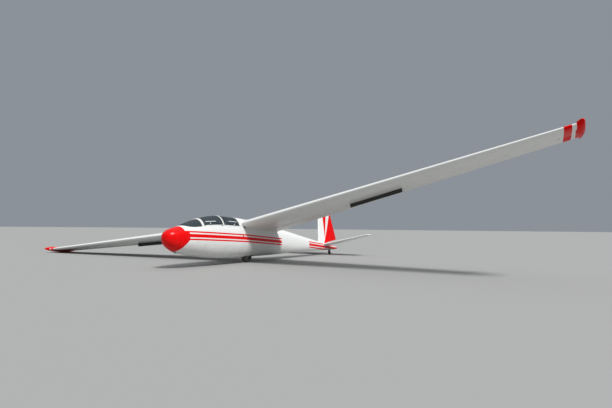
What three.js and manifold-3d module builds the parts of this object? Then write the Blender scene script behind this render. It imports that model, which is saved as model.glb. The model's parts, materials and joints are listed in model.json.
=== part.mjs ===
// A two-seat all-metal training sailplane, parked on its main wheel and tail wheel with the starboard
// wing tip resting on the ground and the airbrakes open. Millimetres, +Z up.
// It is drawn on the airframe's own axes: X is the station aft of the nose tip, Y is to starboard and
// Z is up from the line that joins the nose tip and the end of the tail cone. At the end the whole
// airframe is tilted until its two tyres and the tip body touch the ground.

import * as THREE from "three";
import { mergeVertices } from "three/addons/utils/BufferGeometryUtils.js";
import Module from "manifold-3d";

const wasm = await Module();
wasm.setup();

// Overall sizes and fits
const NOSE_TIP = 45;
const LENGTH = 8230;
const HALF_SPAN = 8100;
const FIT_GAP = 0.3;
const RUNNING_GAP = 5;
const FAR = 3000;

// Fuselage: oval sections, where the row gives the half width, the top (over the canopy), the bottom and
// the height of the widest point
const OVAL_POWER = 2.25;
const OVAL_POINTS = 32;
const BODY = [
  // station, halfWidth, top, bottom, waist
  [NOSE_TIP, 0, 0, 0, -8],
  [80, 108, 96, -122, -12],
  [160, 182, 166, -212, -20],
  [300, 244, 226, -290, -28],
  [440, 276, 272, -343, -28],
  [620, 294, 352, -368, -20],
  [830, 307, 432, -390, -5],
  [1170, 319, 538, -420, 10],
  [1580, 323, 622, -437, 20],
  [2100, 321, 640, -431, 25],
  [2600, 313, 636, -405, 35],
  [3200, 288, 600, -364, 50],
  [3750, 256, 548, -328, 65],
  [4250, 227, 498, -290, 75],
  [4870, 195, 436, -240, 80],
  [5750, 150, 328, -174, 70],
  [6790, 104, 208, -106, 52],
  [7500, 74, 138, -64, 38],
  [8000, 52, 86, -34, 26],
  [8165, 38, 62, -16, 23],
];
const NOSE_END = 420;
const BULKHEAD = 2390;
const TAIL_JOINT = 4250;
const TAIL_END = 8165;
const WALL = 22;

// Cockpit opening: its sill seen from the side, and the bows that divide the glazing
const SILL = [
  // station, height
  [380, 304],
  [440, 280],
  [530, 248],
  [620, 226],
  [740, 226],
  [1010, 258],
  [1400, 298],
  [1700, 320],
  [2450, 336],
];
const BOWS = { windscreen: 1010, middle: 1715, rear: 2360 };
const BOW_WIDTH = 30;
const SILL_HEIGHT = 30;
const FRAME_DEPTH = 18;
const PANE = 4;
const PANE_INSET = 6;
const CANOPY_HINGES = [1180, 2120];
const KNUCKLE = { length: 46, radius: 7, outside: 4, above: 1, room: 2 };

// Wing: straight tapered, swept forward, with its chord plane set at an angle to the fuselage line
const WING = {
  rootLead: 2430,
  rootHeight: 548,
  rootChord: 1710,
  tipChord: 770,
  sweep: THREE.MathUtils.degToRad(4.97),
  dihedral: THREE.MathUtils.degToRad(2.9),
  incidence: THREE.MathUtils.degToRad(2.94),
  rootThickness: 0.15,
  tipThickness: 0.12,
  camber: 0.028,
  rib: 345,
  end: 7930,
};
const FLAP = {
  from: 400,
  to: 4400,
  nose: 0.7,
  noseRun: 0.03,
  bend: 0.82,
  lip: 0.9,
  shroud: 12,
  lipShroud: 5,
  room: 7,
  pivot: 0.58,
  drop: 900,
  shift: 35,
};
const AILERON = { from: 4530, to: 7860, hinge: 0.68 };
const BRAKE = {
  from: 3100,
  to: 4500,
  upperShare: 0.6,
  lowerShare: 0.645,
  travel: 98,
  kept: 2,
  web: 6,
  cap: 36,
  capDepth: 5,
};
const TIP = { length: 1060, lead: 110, radius: 86, at: 8000, bluntness: 0.8, lift: 22 };

// Tail: fin and rudder stand on the tail cone, and the tailplane lies on its shoulder
const FIN = { lead: 6815, sweepBack: 0.178, from: 60, foot: 120, to: 1785, hinge: 7425, thickness: 0.1 };
const RUDDER = { foot: 205, heel: 340, edgeSlope: -0.3 };
const TAILPLANE = {
  rootLead: 7060,
  sweepBack: 0.06,
  rootChord: 940,
  tipChord: 520,
  span: 1725,
  height: 100,
  dihedral: THREE.MathUtils.degToRad(3.6),
  incidence: THREE.MathUtils.degToRad(-2.5),
  thickness: 0.09,
  rib: 118,
  spar: 60,
  hinge: 0.52,
};
const ELEVATOR = { from: 160, to: 1690, heel: 400, heelRun: 470 };

// Wheels: the axle's station and height, and the tyre's, the hub's and the fork's sizes
const WHEEL_WELL = { from: 2640, to: 3060, half: 112, top: -140 };
const MAIN_WHEEL = { x: 2850, z: -358, radius: 175, rim: 92, half: 62, hub: 30, axle: 10 };
const TAIL_WHEEL = { x: 7600, z: -152, radius: 70, rim: 38, half: 24, hub: 16, axle: 6 };
const MAIN_FORK = { half: 84, width: 30, plate: 9, top: WHEEL_WELL.top - FIT_GAP, bridge: 18, foot: 16 };
const TAIL_FORK = { half: 36, width: 20, plate: 5, top: -48, bridge: 26, foot: 16 };

const between = (a, b, t) => a + (b - a) * t;
const V = (x, y, z) => new THREE.Vector3(x, y, z);
const UP = V(0, 0, 1);

// Finishes: colour, roughness, metalness
const FINISH = {
  white: [0xf2f2ee, 0.3, 0],
  red: [0xb3202a, 0.35, 0],
  fabric: [0xeeeeea, 0.55, 0],
  glass: [0x9fb0b4, 0.05, 0],
  steel: [0x8a8c8c, 0.4, 0.8],
  dark: [0x35383a, 0.6, 0.1],
  rubber: [0x1b1b1c, 0.85, 0],
  cushion: [0x3f4347, 0.9, 0],
  panel: [0x24272a, 0.55, 0],
};

// Solids from geometries and back
function solid(geometry) {
  const bare = geometry.clone();
  for (const name of ["normal", "uv"]) bare.deleteAttribute(name);
  const merged = mergeVertices(bare, 1e-3);
  return new wasm.Manifold(
    new wasm.Mesh({
      numProp: 3,
      vertProperties: new Float32Array(merged.attributes.position.array),
      triVerts: new Uint32Array(merged.index.array),
    }),
  );
}

function shape(made) {
  const { vertProperties, numProp, triVerts } = made.getMesh();
  const points = [];
  for (let i = 0; i < vertProperties.length; i += numProp) {
    points.push(vertProperties[i], vertProperties[i + 1], vertProperties[i + 2]);
  }
  const geometry = new THREE.BufferGeometry();
  geometry.setAttribute("position", new THREE.Float32BufferAttribute(points, 3));
  geometry.setIndex([...triVerts]);
  return geometry;
}

const joined = (...pieces) => pieces.reduce((a, b) => a.add(b));

// The largest piece that is left after a cut
const largest = (made) => made.decompose().reduce((a, b) => (b.volume() > a.volume() ? b : a));

// A closed skin over rings of points: each ring is flat across the axis, and the ends are filled
function loft(rings, axis) {
  const count = rings[0].length;
  const faces = [];
  for (let r = 0; r + 1 < rings.length; r++) {
    for (let i = 0; i < count; i++) {
      const a = r * count + i;
      const b = r * count + ((i + 1) % count);
      faces.push(a, b, b + count, a, b + count, a + count);
    }
  }
  const last = (rings.length - 1) * count;
  for (const [ring, start, turn] of [
    [rings[0], 0, -1],
    [rings[rings.length - 1], last, 1],
  ]) {
    const flat = ring.map(
      (p) => new THREE.Vector2(p.getComponent((axis + 1) % 3), p.getComponent((axis + 2) % 3)),
    );
    const way = Math.sign(THREE.ShapeUtils.area(flat)) * turn;
    for (const [a, b, c] of THREE.ShapeUtils.triangulateShape(flat, [])) {
      const area = THREE.ShapeUtils.area([flat[a], flat[b], flat[c]]);
      const order = Math.sign(area) === way ? [a, b, c] : [a, c, b];
      faces.push(...order.map((i) => start + i));
    }
  }
  const geometry = new THREE.BufferGeometry().setFromPoints(rings.flat());
  geometry.setIndex(faces);
  return facingOut(geometry);
}

function facingOut(geometry) {
  const p = geometry.attributes.position;
  const index = geometry.index.array;
  let volume = 0;
  for (let i = 0; i < index.length; i += 3) {
    const [a, b, c] = [0, 1, 2].map((k) => V().fromBufferAttribute(p, index[i + k]));
    volume += a.dot(b.cross(c));
  }
  if (volume < 0) {
    for (let i = 0; i < index.length; i += 3) [index[i + 1], index[i + 2]] = [index[i + 2], index[i + 1]];
  }
  return geometry;
}

// The same piece on the port side
function mirrored(geometry) {
  const copy = geometry.clone().scale(1, -1, 1);
  return facingOut(copy);
}

// A side-view outline of [station, height] points, from the port half breadth to the starboard one
function sideCut(outline, from, to) {
  const flat = new THREE.Shape(outline.map(([x, z]) => new THREE.Vector2(x, z)));
  const geometry = new THREE.ExtrudeGeometry(flat, { depth: to - from, bevelEnabled: false });
  return geometry.rotateX(Math.PI / 2).translate(0, to, 0);
}

// A box between two corners
function block(low, high) {
  const size = V(...high).sub(V(...low));
  const centre = V(...high).add(V(...low)).multiplyScalar(0.5);
  return new THREE.BoxGeometry(size.x, size.y, size.z).translate(centre.x, centre.y, centre.z);
}

// A rod of the given radius from one point to another
function rod(from, to, radius, sides = 12) {
  const along = to.clone().sub(from);
  const geometry = new THREE.CylinderGeometry(radius, radius, along.length(), sides);
  const turn = new THREE.Quaternion().setFromUnitVectors(V(0, 1, 0), along.normalize());
  const centre = from.clone().add(to).multiplyScalar(0.5);
  return geometry.applyQuaternion(turn).translate(centre.x, centre.y, centre.z);
}

// A smooth value along the fuselage: a cubic through one column of BODY, on the square root of the
// distance from the nose tip, so that the nose is round
function bodyColumn(station, column) {
  const at = (row) => Math.sqrt(BODY[row][0] - NOSE_TIP);
  const u = Math.sqrt(station - NOSE_TIP);
  let k = 0;
  while (k + 2 < BODY.length && at(k + 1) < u) k++;
  const slope = (row) => {
    const low = Math.max(row - 1, 0);
    const high = Math.min(row + 1, BODY.length - 1);
    return (BODY[high][column] - BODY[low][column]) / (at(high) - at(low));
  };
  const step = at(k + 1) - at(k);
  const t = (u - at(k)) / step;
  const rise = BODY[k + 1][column] - BODY[k][column];
  const left = slope(k) * step - rise;
  const right = rise - slope(k + 1) * step;
  return BODY[k][column] + rise * t + t * (1 - t) * (left * (1 - t) + right * t);
}

function bodyRing(station, inset) {
  const [half, top, bottom, waist] = [1, 2, 3, 4].map((c) => bodyColumn(station, c));
  const ring = [];
  for (let i = 0; i < OVAL_POINTS; i++) {
    const angle = (i / OVAL_POINTS) * 2 * Math.PI;
    const across = Math.sign(Math.cos(angle)) * Math.abs(Math.cos(angle)) ** (2 / OVAL_POWER);
    const tall = Math.sign(Math.sin(angle)) * Math.abs(Math.sin(angle)) ** (2 / OVAL_POWER);
    const reach = tall > 0 ? top - inset - waist : waist - bottom - inset;
    ring.push(V(station, across * (half - inset), waist + tall * reach));
  }
  return ring;
}

// The fuselage between two stations, thinner by the inset all round
function body(from, to, inset = 0, steps = 8) {
  const rings = [];
  for (let i = 0; i <= steps; i++) {
    const t = i / steps;
    const u = between(Math.sqrt(from - NOSE_TIP), Math.sqrt(to - NOSE_TIP), t);
    rings.push(bodyRing(i === steps ? to : NOSE_TIP + u * u, inset));
  }
  return solid(loft(rings, 0));
}

// Everything above the sill, raised by the given height, between two stations
function aboveSill(raise, from, to) {
  const line = SILL.map(([x, z]) => [x, z + raise]);
  const [first, last] = [line[0], line[line.length - 1]];
  const outline = [...line, [last[0], FAR], [first[0], FAR]];
  const slab = block([from, -FAR, -FAR], [to, FAR, FAR]);
  return solid(sideCut(outline, -FAR, FAR)).intersect(solid(slab));
}

// Sections of the wing, tail and fin: a lead point, a chord, a thickness share and a camber share
function halfThickness(x) {
  const root = 0.2969 * Math.sqrt(x) - 0.126 * x;
  return 5 * (root - 0.3516 * x ** 2 + 0.2843 * x ** 3 - 0.1036 * x ** 4);
}

const wingChord = (a) => between(WING.rootChord, WING.tipChord, a / HALF_SPAN);
const wing = {
  axis: 1,
  aft: V(1, 0, -Math.tan(WING.incidence)),
  up: UP,
  chord: wingChord,
  thickness: (a) => between(WING.rootThickness, WING.tipThickness, a / HALF_SPAN),
  camber: WING.camber,
  hinge: () => AILERON.hinge,
  lead(a) {
    const quarter = WING.rootLead + 0.25 * WING.rootChord - a * Math.tan(WING.sweep);
    const x = quarter - 0.25 * wingChord(a);
    return V(x, a, WING.rootHeight + a * Math.tan(WING.dihedral) - x * Math.tan(WING.incidence));
  },
};

const tailplane = {
  axis: 1,
  aft: V(1, 0, -Math.tan(TAILPLANE.incidence)),
  up: UP,
  chord: (a) => between(TAILPLANE.rootChord, TAILPLANE.tipChord, a / TAILPLANE.span),
  thickness: () => TAILPLANE.thickness,
  camber: 0,
  hinge: () => TAILPLANE.hinge,
  lead(a) {
    const x = TAILPLANE.rootLead + a * TAILPLANE.sweepBack;
    return V(x, a, TAILPLANE.height + a * Math.tan(TAILPLANE.dihedral));
  },
};

const finLead = (h) => FIN.lead + h * FIN.sweepBack;
const rudderEdge = (h) => LENGTH + (h - RUDDER.heel) * RUDDER.edgeSlope;
const fin = {
  axis: 2,
  aft: V(1, 0, 0),
  up: V(0, 1, 0),
  chord: (h) => rudderEdge(h) - finLead(h),
  thickness: () => FIN.thickness,
  camber: 0,
  hinge: (h) => (FIN.hinge - finLead(h)) / (rudderEdge(h) - finLead(h)),
  lead: (h) => V(finLead(h), 0, h),
};

// A point at a share x of the chord and a height above the chord plane, a along the span
const chordPoint = (surface, a, x, height) =>
  surface
    .lead(a)
    .addScaledVector(surface.aft, x * surface.chord(a))
    .addScaledVector(surface.up, height);

// The height of the upper skin (side 1), the lower skin (-1) or the line between them (0); the trailing
// edge has a small thickness of its own
const EDGE_SHARE = 0.0012;
function skinHeight(surface, a, x, side) {
  const arch = surface.camber * 4 * x * (1 - x);
  const half = surface.thickness(a) * halfThickness(x) + EDGE_SHARE * x;
  return surface.chord(a) * (arch + side * half);
}

const skin = (surface, a, x, side) => chordPoint(surface, a, x, skinHeight(surface, a, x, side));

const SECTION_STEPS = 11;
function sectionRing(surface, a) {
  const ring = [];
  for (let i = 0; i <= SECTION_STEPS; i++) {
    ring.push(skin(surface, a, (1 + Math.cos((i / SECTION_STEPS) * Math.PI)) / 2, 1));
  }
  for (let i = 1; i <= SECTION_STEPS; i++) {
    ring.push(skin(surface, a, (1 - Math.cos((i / SECTION_STEPS) * Math.PI)) / 2, -1));
  }
  return ring;
}

const surfaceSolid = (surface, stations) =>
  solid(loft(stations.map((a) => sectionRing(surface, a)), surface.axis));

// The hinge line of a control: its middle point and the radius of its round nose
const hingePoint = (surface, a) => skin(surface, a, surface.hinge(a), 0);
const noseRadius = (surface, a) =>
  skin(surface, a, surface.hinge(a), 1).distanceTo(skin(surface, a, surface.hinge(a), -1)) / 2;

const NOSE_STEPS = 8;
const NOSE_FIT = 0.985;
function around(surface, a, radius, from, to, steps) {
  const ring = [];
  for (let i = 0; i <= steps; i++) {
    const angle = between(from, to, i / steps);
    ring.push(
      hingePoint(surface, a)
        .addScaledVector(surface.aft, radius * Math.cos(angle))
        .addScaledVector(surface.up, radius * Math.sin(angle)),
    );
  }
  return ring;
}

// A control surface with a round nose about its hinge line
function control(surface, from, to) {
  const rings = [from, to].map((a) => {
    const late = between(surface.hinge(a), 1, 0.5);
    const radius = noseRadius(surface, a) * NOSE_FIT;
    return [
      skin(surface, a, 1, 1),
      skin(surface, a, late, 1),
      ...around(surface, a, radius, Math.PI / 2, 1.5 * Math.PI, NOSE_STEPS),
      skin(surface, a, late, -1),
      skin(surface, a, 1, -1),
    ];
  });
  return solid(loft(rings, surface.axis));
}

// The room that it needs in what carries it: a round trough, open behind
const TROUGH_OPENING = 0.62;
function controlRoom(surface, from, to) {
  const ends = [from - RUNNING_GAP, to + RUNNING_GAP];
  const trough = ends.map((a) =>
    around(surface, a, noseRadius(surface, a) + RUNNING_GAP, 0, 2 * Math.PI, 2 * NOSE_STEPS).slice(0, -1),
  );
  const behind = ends.map((a) => {
    const radius = noseRadius(surface, a);
    const [front, back] = [-TROUGH_OPENING * radius - RUNNING_GAP, surface.chord(a)];
    const tall = 3 * radius + 20;
    return [
      [front, -tall],
      [back, -tall],
      [back, tall],
      [front, tall],
    ].map(([x, z]) =>
      hingePoint(surface, a).addScaledVector(surface.aft, x).addScaledVector(surface.up, z),
    );
  });
  return joined(solid(loft(trough, surface.axis)), solid(loft(behind, surface.axis)));
}

// Joints: a moving body's group stands at its pivot, and userData.axis is the way it turns or slides
const airframe = new THREE.Group();
function material(finish) {
  const [color, roughness, metalness] = FINISH[finish];
  return new THREE.MeshStandardMaterial({ color, roughness, metalness });
}

function add(name, piece, finish, group = airframe) {
  const geometry = piece.isBufferGeometry ? piece.clone() : shape(piece);
  if (group !== airframe) geometry.translate(-group.position.x, -group.position.y, -group.position.z);
  const mesh = new THREE.Mesh(geometry, material(finish));
  mesh.name = name;
  group.add(mesh);
  return mesh;
}

function moving(name, pivot, axis) {
  const group = new THREE.Group();
  group.name = name;
  group.position.copy(pivot);
  group.userData.axis = axis.clone().normalize();
  airframe.add(group);
  return group;
}

const SIDES = [
  ["starboard", 1],
  ["port", -1],
];
const sided = (piece, side) => (side > 0 ? piece : solid(mirrored(shape(piece))));
const flipped = (vector, side) => V(vector.x, vector.y * side, vector.z);

// The hinged canopy turns to starboard on two knuckles at the sill: half the breadth of the body at a
// height above its waist gives where they stand
function flank(station, height) {
  const [half, top, , waist] = [1, 2, 3, 4].map((c) => bodyColumn(station, c));
  return half * (1 - ((height - waist) / (top - waist)) ** OVAL_POWER) ** (1 / OVAL_POWER);
}

const sillAt = (station) => {
  const k = SILL.findIndex(([x]) => x > station);
  const [[x0, z0], [x1, z1]] = [SILL[k - 1], SILL[k]];
  return between(z0, z1, (station - x0) / (x1 - x0));
};
const hinges = CANOPY_HINGES.map((x) =>
  V(x, flank(x, sillAt(x)) + KNUCKLE.outside, sillAt(x) + KNUCKLE.above),
);
const canopyAxis = hinges[1].clone().sub(hinges[0]).normalize();
const knuckle = (p, room) =>
  solid(
    rod(
      p.clone().addScaledVector(canopyAxis, -room),
      p.clone().addScaledVector(canopyAxis, KNUCKLE.length + room),
      KNUCKLE.radius + room,
    ),
  );

// Nose and cockpit shell
add("nose_cap", body(NOSE_TIP + 1, NOSE_END - FIT_GAP, 0, 9), "red");
const ROOM = { from: NOSE_END + 90, to: BULKHEAD - 25 };
const cockpitShell = body(NOSE_END, BULKHEAD, 0, 10)
  .subtract(body(ROOM.from, ROOM.to, WALL, 9))
  .subtract(aboveSill(0, 0, BULKHEAD - WALL))
  .subtract(joined(...hinges.map((p) => knuckle(p, KNUCKLE.room))));
add("cockpit_shell", cockpitShell, "white");

const FLOOR = { from: 600, to: 2350, top: -345, thick: 12, half: 170 };
const floorBoard = block(
  [FLOOR.from, -FLOOR.half, FLOOR.top - FLOOR.thick],
  [FLOOR.to, FLOOR.half, FLOOR.top],
);
const cockpitRoom = body(ROOM.from, ROOM.to, WALL + FIT_GAP, 9);
add("cockpit_floor", solid(floorBoard).intersect(cockpitRoom), "dark");

// Centre section: turtle deck, wing root stubs and wheel well
const stub = surfaceSolid(wing, [60, WING.rib - FIT_GAP]);
const well = block(
  [WHEEL_WELL.from, -WHEEL_WELL.half, -FAR],
  [WHEEL_WELL.to, WHEEL_WELL.half, WHEEL_WELL.top],
);
const deck = joined(body(BULKHEAD + FIT_GAP, TAIL_JOINT, 0, 7), stub, sided(stub, -1));
add("centre_section", deck.subtract(solid(well)), "white");

// Tail cone, with the shoulders that the tailplane halves are bolted to
const elevatorStation = TAILPLANE.rootLead + TAILPLANE.hinge * TAILPLANE.rootChord;
const shoulder = surfaceSolid(tailplane, [5, TAILPLANE.rib - FIT_GAP]).subtract(
  solid(block([elevatorStation - TAILPLANE.spar, -FAR, -FAR], [LENGTH, FAR, FAR])),
);
const shoulders = joined(shoulder, sided(shoulder, -1));
const cone = (inset) => body(TAIL_JOINT + FIT_GAP, TAIL_END, inset, 10);
add("tail_cone", joined(cone(0), shoulders), "white");

// Fin and rudder: the fin stands on the cone and the shoulders, and its post ends under the rudder
const POST = 60;
const finBlade = surfaceSolid(fin, [FIN.from, FIN.to])
  .subtract(controlRoom(fin, RUDDER.foot, FAR))
  .subtract(solid(block([FIN.hinge - POST, -FAR, -FAR], [LENGTH, FAR, RUDDER.foot])))
  .subtract(cone(-2 * FIT_GAP))
  .subtract(solid(block([0, -FAR, -FAR], [LENGTH, FAR, FIN.foot])))
  .subtract(joined(shoulders, shoulders.translate([0, 0, FIT_GAP])));
add("fin", largest(finBlade), "white");

const rudderHeel = sideCut(
  [
    [FIN.hinge, RUDDER.foot],
    [LENGTH, RUDDER.heel],
    [LENGTH + FAR, RUDDER.heel],
    [LENGTH + FAR, -FAR],
    [FIN.hinge, -FAR],
  ],
  -FAR,
  FAR,
);
const rudder = moving("rudder", V(FIN.hinge, 0, RUDDER.foot), UP);
add("rudder", control(fin, RUDDER.foot, FIN.to).subtract(solid(rudderHeel)), "fabric", rudder);

// Tailplane and elevator, one half each side; the elevator's inner end is cut back for the rudder
const elevatorHeel = new THREE.Shape(
  [
    [elevatorStation - FAR, ELEVATOR.from],
    [elevatorStation, ELEVATOR.from],
    [elevatorStation + ELEVATOR.heelRun, ELEVATOR.heel],
    [elevatorStation + ELEVATOR.heelRun, -FAR],
    [elevatorStation - FAR, -FAR],
  ].map(([x, y]) => new THREE.Vector2(x, y)),
);
const heelCut = new THREE.ExtrudeGeometry(elevatorHeel, { depth: FAR, bevelEnabled: false }).translate(
  0,
  0,
  -FAR / 2,
);
const elevatorAxis = hingePoint(tailplane, ELEVATOR.to).sub(hingePoint(tailplane, ELEVATOR.from));
const elevatorPiece = control(tailplane, ELEVATOR.from, ELEVATOR.to).subtract(solid(heelCut));
const tailplaneHalf = surfaceSolid(tailplane, [TAILPLANE.rib, TAILPLANE.span]).subtract(
  controlRoom(tailplane, -ELEVATOR.from, ELEVATOR.to),
);
for (const [name, side] of SIDES) {
  add(`tailplane_${name}`, sided(largest(tailplaneHalf), side), "white");
  const pivot = flipped(hingePoint(tailplane, ELEVATOR.from), side);
  const elevator = moving(`elevator_${name}`, pivot, elevatorAxis.clone().multiply(V(side, 1, side)));
  add(`elevator_${name}`, sided(elevatorPiece, side), "fabric", elevator);
}

// Flap: its nose lies under a shroud of the upper skin, and it runs aft on an arc about an axis below
const shroudUnder = (a, x) => {
  const t = (x - FLAP.nose) / (FLAP.lip - FLAP.nose);
  return skinHeight(wing, a, x, 1) - between(FLAP.shroud, FLAP.lipShroud, t);
};

function flapRing(a) {
  const c = wingChord(a);
  const start = FLAP.nose + FLAP.noseRun;
  const top = shroudUnder(a, start) - FLAP.room;
  const bottom = skinHeight(wing, a, start, -1);
  const open = FLAP.lip + RUNNING_GAP / c;
  const ring = [
    [1, skinHeight(wing, a, 1, 1)],
    [0.95, skinHeight(wing, a, 0.95, 1)],
    [open, skinHeight(wing, a, open, 1)],
    [open, shroudUnder(a, FLAP.lip) - FLAP.room],
    [FLAP.bend, shroudUnder(a, FLAP.bend) - FLAP.room],
  ];
  for (let i = 0; i <= NOSE_STEPS; i++) {
    const angle = (i / NOSE_STEPS) * Math.PI;
    const height = between(bottom, top, (1 + Math.cos(angle)) / 2);
    ring.push([start - FLAP.noseRun * Math.sin(angle), height]);
  }
  ring.push([0.87, skinHeight(wing, a, 0.87, -1)], [1, skinHeight(wing, a, 1, -1)]);
  return ring.map(([x, z]) => chordPoint(wing, a, x, z));
}

function flapRoomRing(a) {
  const front = FLAP.nose - RUNNING_GAP / wingChord(a);
  return [
    [front, -FAR],
    [front, shroudUnder(a, FLAP.nose)],
    [FLAP.bend, shroudUnder(a, FLAP.bend)],
    [FLAP.lip, shroudUnder(a, FLAP.lip)],
    [FLAP.lip, FAR],
    [1.1, FAR],
    [1.1, -FAR],
  ].map(([x, z]) => chordPoint(wing, a, x, z));
}

// Airbrake: a thin plate with a cap strip that closes its slot in the skin; the section is drawn at the
// skin, side 1 for the upper plate and -1 for the lower one
function brakeRing(a, share, side, rows) {
  const height = skinHeight(wing, a, share, side);
  return rows.map(([x, z]) => chordPoint(wing, a, share, height + side * z).add(V(x, 0, 0)));
}

function teeRows(capHalf, webHalf, top, capUnder, foot) {
  return [
    [-capHalf, top],
    [-capHalf, capUnder],
    [-webHalf, capUnder],
    [-webHalf, foot],
    [webHalf, foot],
    [webHalf, capUnder],
    [capHalf, capUnder],
    [capHalf, top],
  ];
}

const brakeSolid = (from, to, share, side, rows) =>
  solid(loft([from, to].map((a) => brakeRing(a, share, side, rows)), 1));
const plateRows = teeRows(
  BRAKE.cap / 2,
  BRAKE.web / 2,
  BRAKE.travel,
  BRAKE.travel - BRAKE.capDepth,
  -BRAKE.kept,
);
const slotRows = teeRows(
  BRAKE.cap / 2 + RUNNING_GAP,
  BRAKE.web / 2 + RUNNING_GAP,
  FAR,
  -BRAKE.capDepth - RUNNING_GAP,
  -BRAKE.travel - BRAKE.kept - RUNNING_GAP,
);
const BRAKES = [
  ["upper", 1, BRAKE.upperShare],
  ["lower", -1, BRAKE.lowerShare],
];

// Wing halves and all that moves on them
let wingHalf = surfaceSolid(wing, [WING.rib, BRAKE.from, AILERON.from, AILERON.to, WING.end])
  .subtract(solid(loft([FLAP.from - RUNNING_GAP, FLAP.to + FLAP.shift].map(flapRoomRing), 1)))
  .subtract(controlRoom(wing, AILERON.from, AILERON.to));
for (const [, side, share] of BRAKES) {
  const [from, to] = [BRAKE.from - RUNNING_GAP, BRAKE.to + RUNNING_GAP];
  wingHalf = wingHalf.subtract(brakeSolid(from, to, share, side, slotRows));
}
const flapPiece = solid(loft([FLAP.from, FLAP.to].map(flapRing), 1));
const aileronPiece = control(wing, AILERON.from, AILERON.to);
const flapPivot = (a) => chordPoint(wing, a, FLAP.pivot, -FLAP.drop);
const tipLine = wing.lead(TIP.at).addScaledVector(wing.aft, -TIP.lead);
const tipProfile = [];
const TIP_STEPS = 12;
for (let i = 0; i <= TIP_STEPS; i++) {
  const t = (1 - Math.cos((i / TIP_STEPS) * Math.PI)) / 2;
  const round = Math.sin(Math.PI * t ** TIP.bluntness) ** 0.75;
  tipProfile.push(new THREE.Vector2(i % TIP_STEPS ? TIP.radius * round : 0, t * TIP.length));
}
const tipBody = solid(
  facingOut(
    new THREE.LatheGeometry(tipProfile, 20)
      .rotateZ(-Math.PI / 2)
      .rotateY(WING.incidence)
      .translate(tipLine.x, tipLine.y, tipLine.z + TIP.lift),
  ),
).intersect(solid(block([0, WING.end + FIT_GAP, -FAR], [LENGTH, 2 * HALF_SPAN, FAR])));

const tips = {};
for (const [name, side] of SIDES) {
  add(`wing_${name}`, sided(largest(wingHalf), side), "white");
  tips[name] = add(`wing_tip_${name}`, sided(tipBody, side), "red");
  const flapAxis = flapPivot(FLAP.to).sub(flapPivot(FLAP.from)).multiply(V(side, 1, side));
  const flap = moving(`flap_${name}`, flipped(flapPivot(FLAP.from), side), flapAxis);
  add(`flap_${name}`, sided(flapPiece, side), "white", flap);
  const [inner, outer] = [AILERON.from, AILERON.to].map((a) => hingePoint(wing, a));
  const aileronAxis = outer.sub(inner).multiply(V(side, 1, side));
  const aileron = moving(`aileron_${name}`, flipped(inner, side), aileronAxis);
  add(`aileron_${name}`, sided(aileronPiece, side), "fabric", aileron);
  for (const [level, way, share] of BRAKES) {
    const plate = brakeSolid(BRAKE.from, BRAKE.to, share, way, plateRows);
    const at = flipped(chordPoint(wing, BRAKE.from, share, 0), side);
    const slide = moving(`airbrake_${level}_${name}`, at, V(0, 0, way));
    add(`airbrake_${level}_${name}`, sided(plate, side), "steel", slide);
  }
}

// Glazing: frames of bent strip on the body's own curve, with a pane in each window
const hoop = (from, to, outer, inner) =>
  body(from, to, outer, 8).subtract(body(from - PANE, to + PANE, inner, 8));
function windowCut(from, to, gap) {
  return aboveSill(SILL_HEIGHT + gap, from + BOW_WIDTH + gap, to - BOW_WIDTH - gap);
}
function frameOf(from, to, bows) {
  let frame = hoop(from, to, 0, FRAME_DEPTH).intersect(aboveSill(FIT_GAP, from, to));
  for (let i = 0; i + 1 < bows.length; i++) frame = frame.subtract(windowCut(bows[i], bows[i + 1], 0));
  return frame;
}
function paneOf(from, to) {
  return largest(hoop(from, to, PANE_INSET, PANE_INSET + PANE).intersect(windowCut(from, to, FIT_GAP)));
}

const screen = [NOSE_END - BOW_WIDTH, BOWS.windscreen];
add("windscreen_frame", largest(frameOf(NOSE_END + 10, BOWS.windscreen, screen)), "white");
add("windscreen_pane", paneOf(NOSE_END, BOWS.windscreen), "glass");

const canopy = moving("canopy", hinges[0], canopyAxis.clone().negate());
const canopyFrom = BOWS.windscreen + RUNNING_GAP;
const canopyFrame = frameOf(canopyFrom, BOWS.rear, [canopyFrom, BOWS.middle, BOWS.rear]);
add("canopy_frame", joined(canopyFrame, ...hinges.map((p) => knuckle(p, 0))), "white", canopy);
add("canopy_pane_front", paneOf(canopyFrom, BOWS.middle), "glass", canopy);
add("canopy_pane_rear", paneOf(BOWS.middle, BOWS.rear), "glass", canopy);

// Seats stand on the floor board, each with a pad laid in it
const SEATS = [
  // name, front edge, seat height, back foot, back top station and height
  ["front", 1110, -262, 1450, 1600, 130],
  ["rear", 1800, -240, 2130, 2270, 190],
];
const SEAT = { half: 195, shell: 28, pad: 45, padHalf: 180, slope: 25, lip: 8, corner: 10 };
for (const [name, front, height, foot, topX, topZ] of SEATS) {
  const base = FLOOR.top + FIT_GAP;
  const shell = sideCut(
    [
      [front, base],
      [front, height],
      [foot, height - SEAT.slope],
      [topX, topZ],
      [topX + SEAT.shell, topZ - 5],
      [foot + 2 * SEAT.shell, base],
    ],
    -SEAT.half,
    SEAT.half,
  );
  add(`seat_${name}`, solid(shell).intersect(cockpitRoom), "dark");
  const pad = sideCut(
    [
      [front + SEAT.lip, height + 1],
      [front + SEAT.lip, height + SEAT.pad],
      [foot - SEAT.pad, height + SEAT.pad - SEAT.slope],
      [topX - SEAT.pad - SEAT.corner, topZ - SEAT.corner],
      [topX - SEAT.corner, topZ - 15],
      [foot - 3, height - SEAT.slope + 2],
    ],
    -SEAT.padHalf,
    SEAT.padHalf,
  );
  add(`seat_pad_${name}`, pad, "cushion");
}

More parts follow.
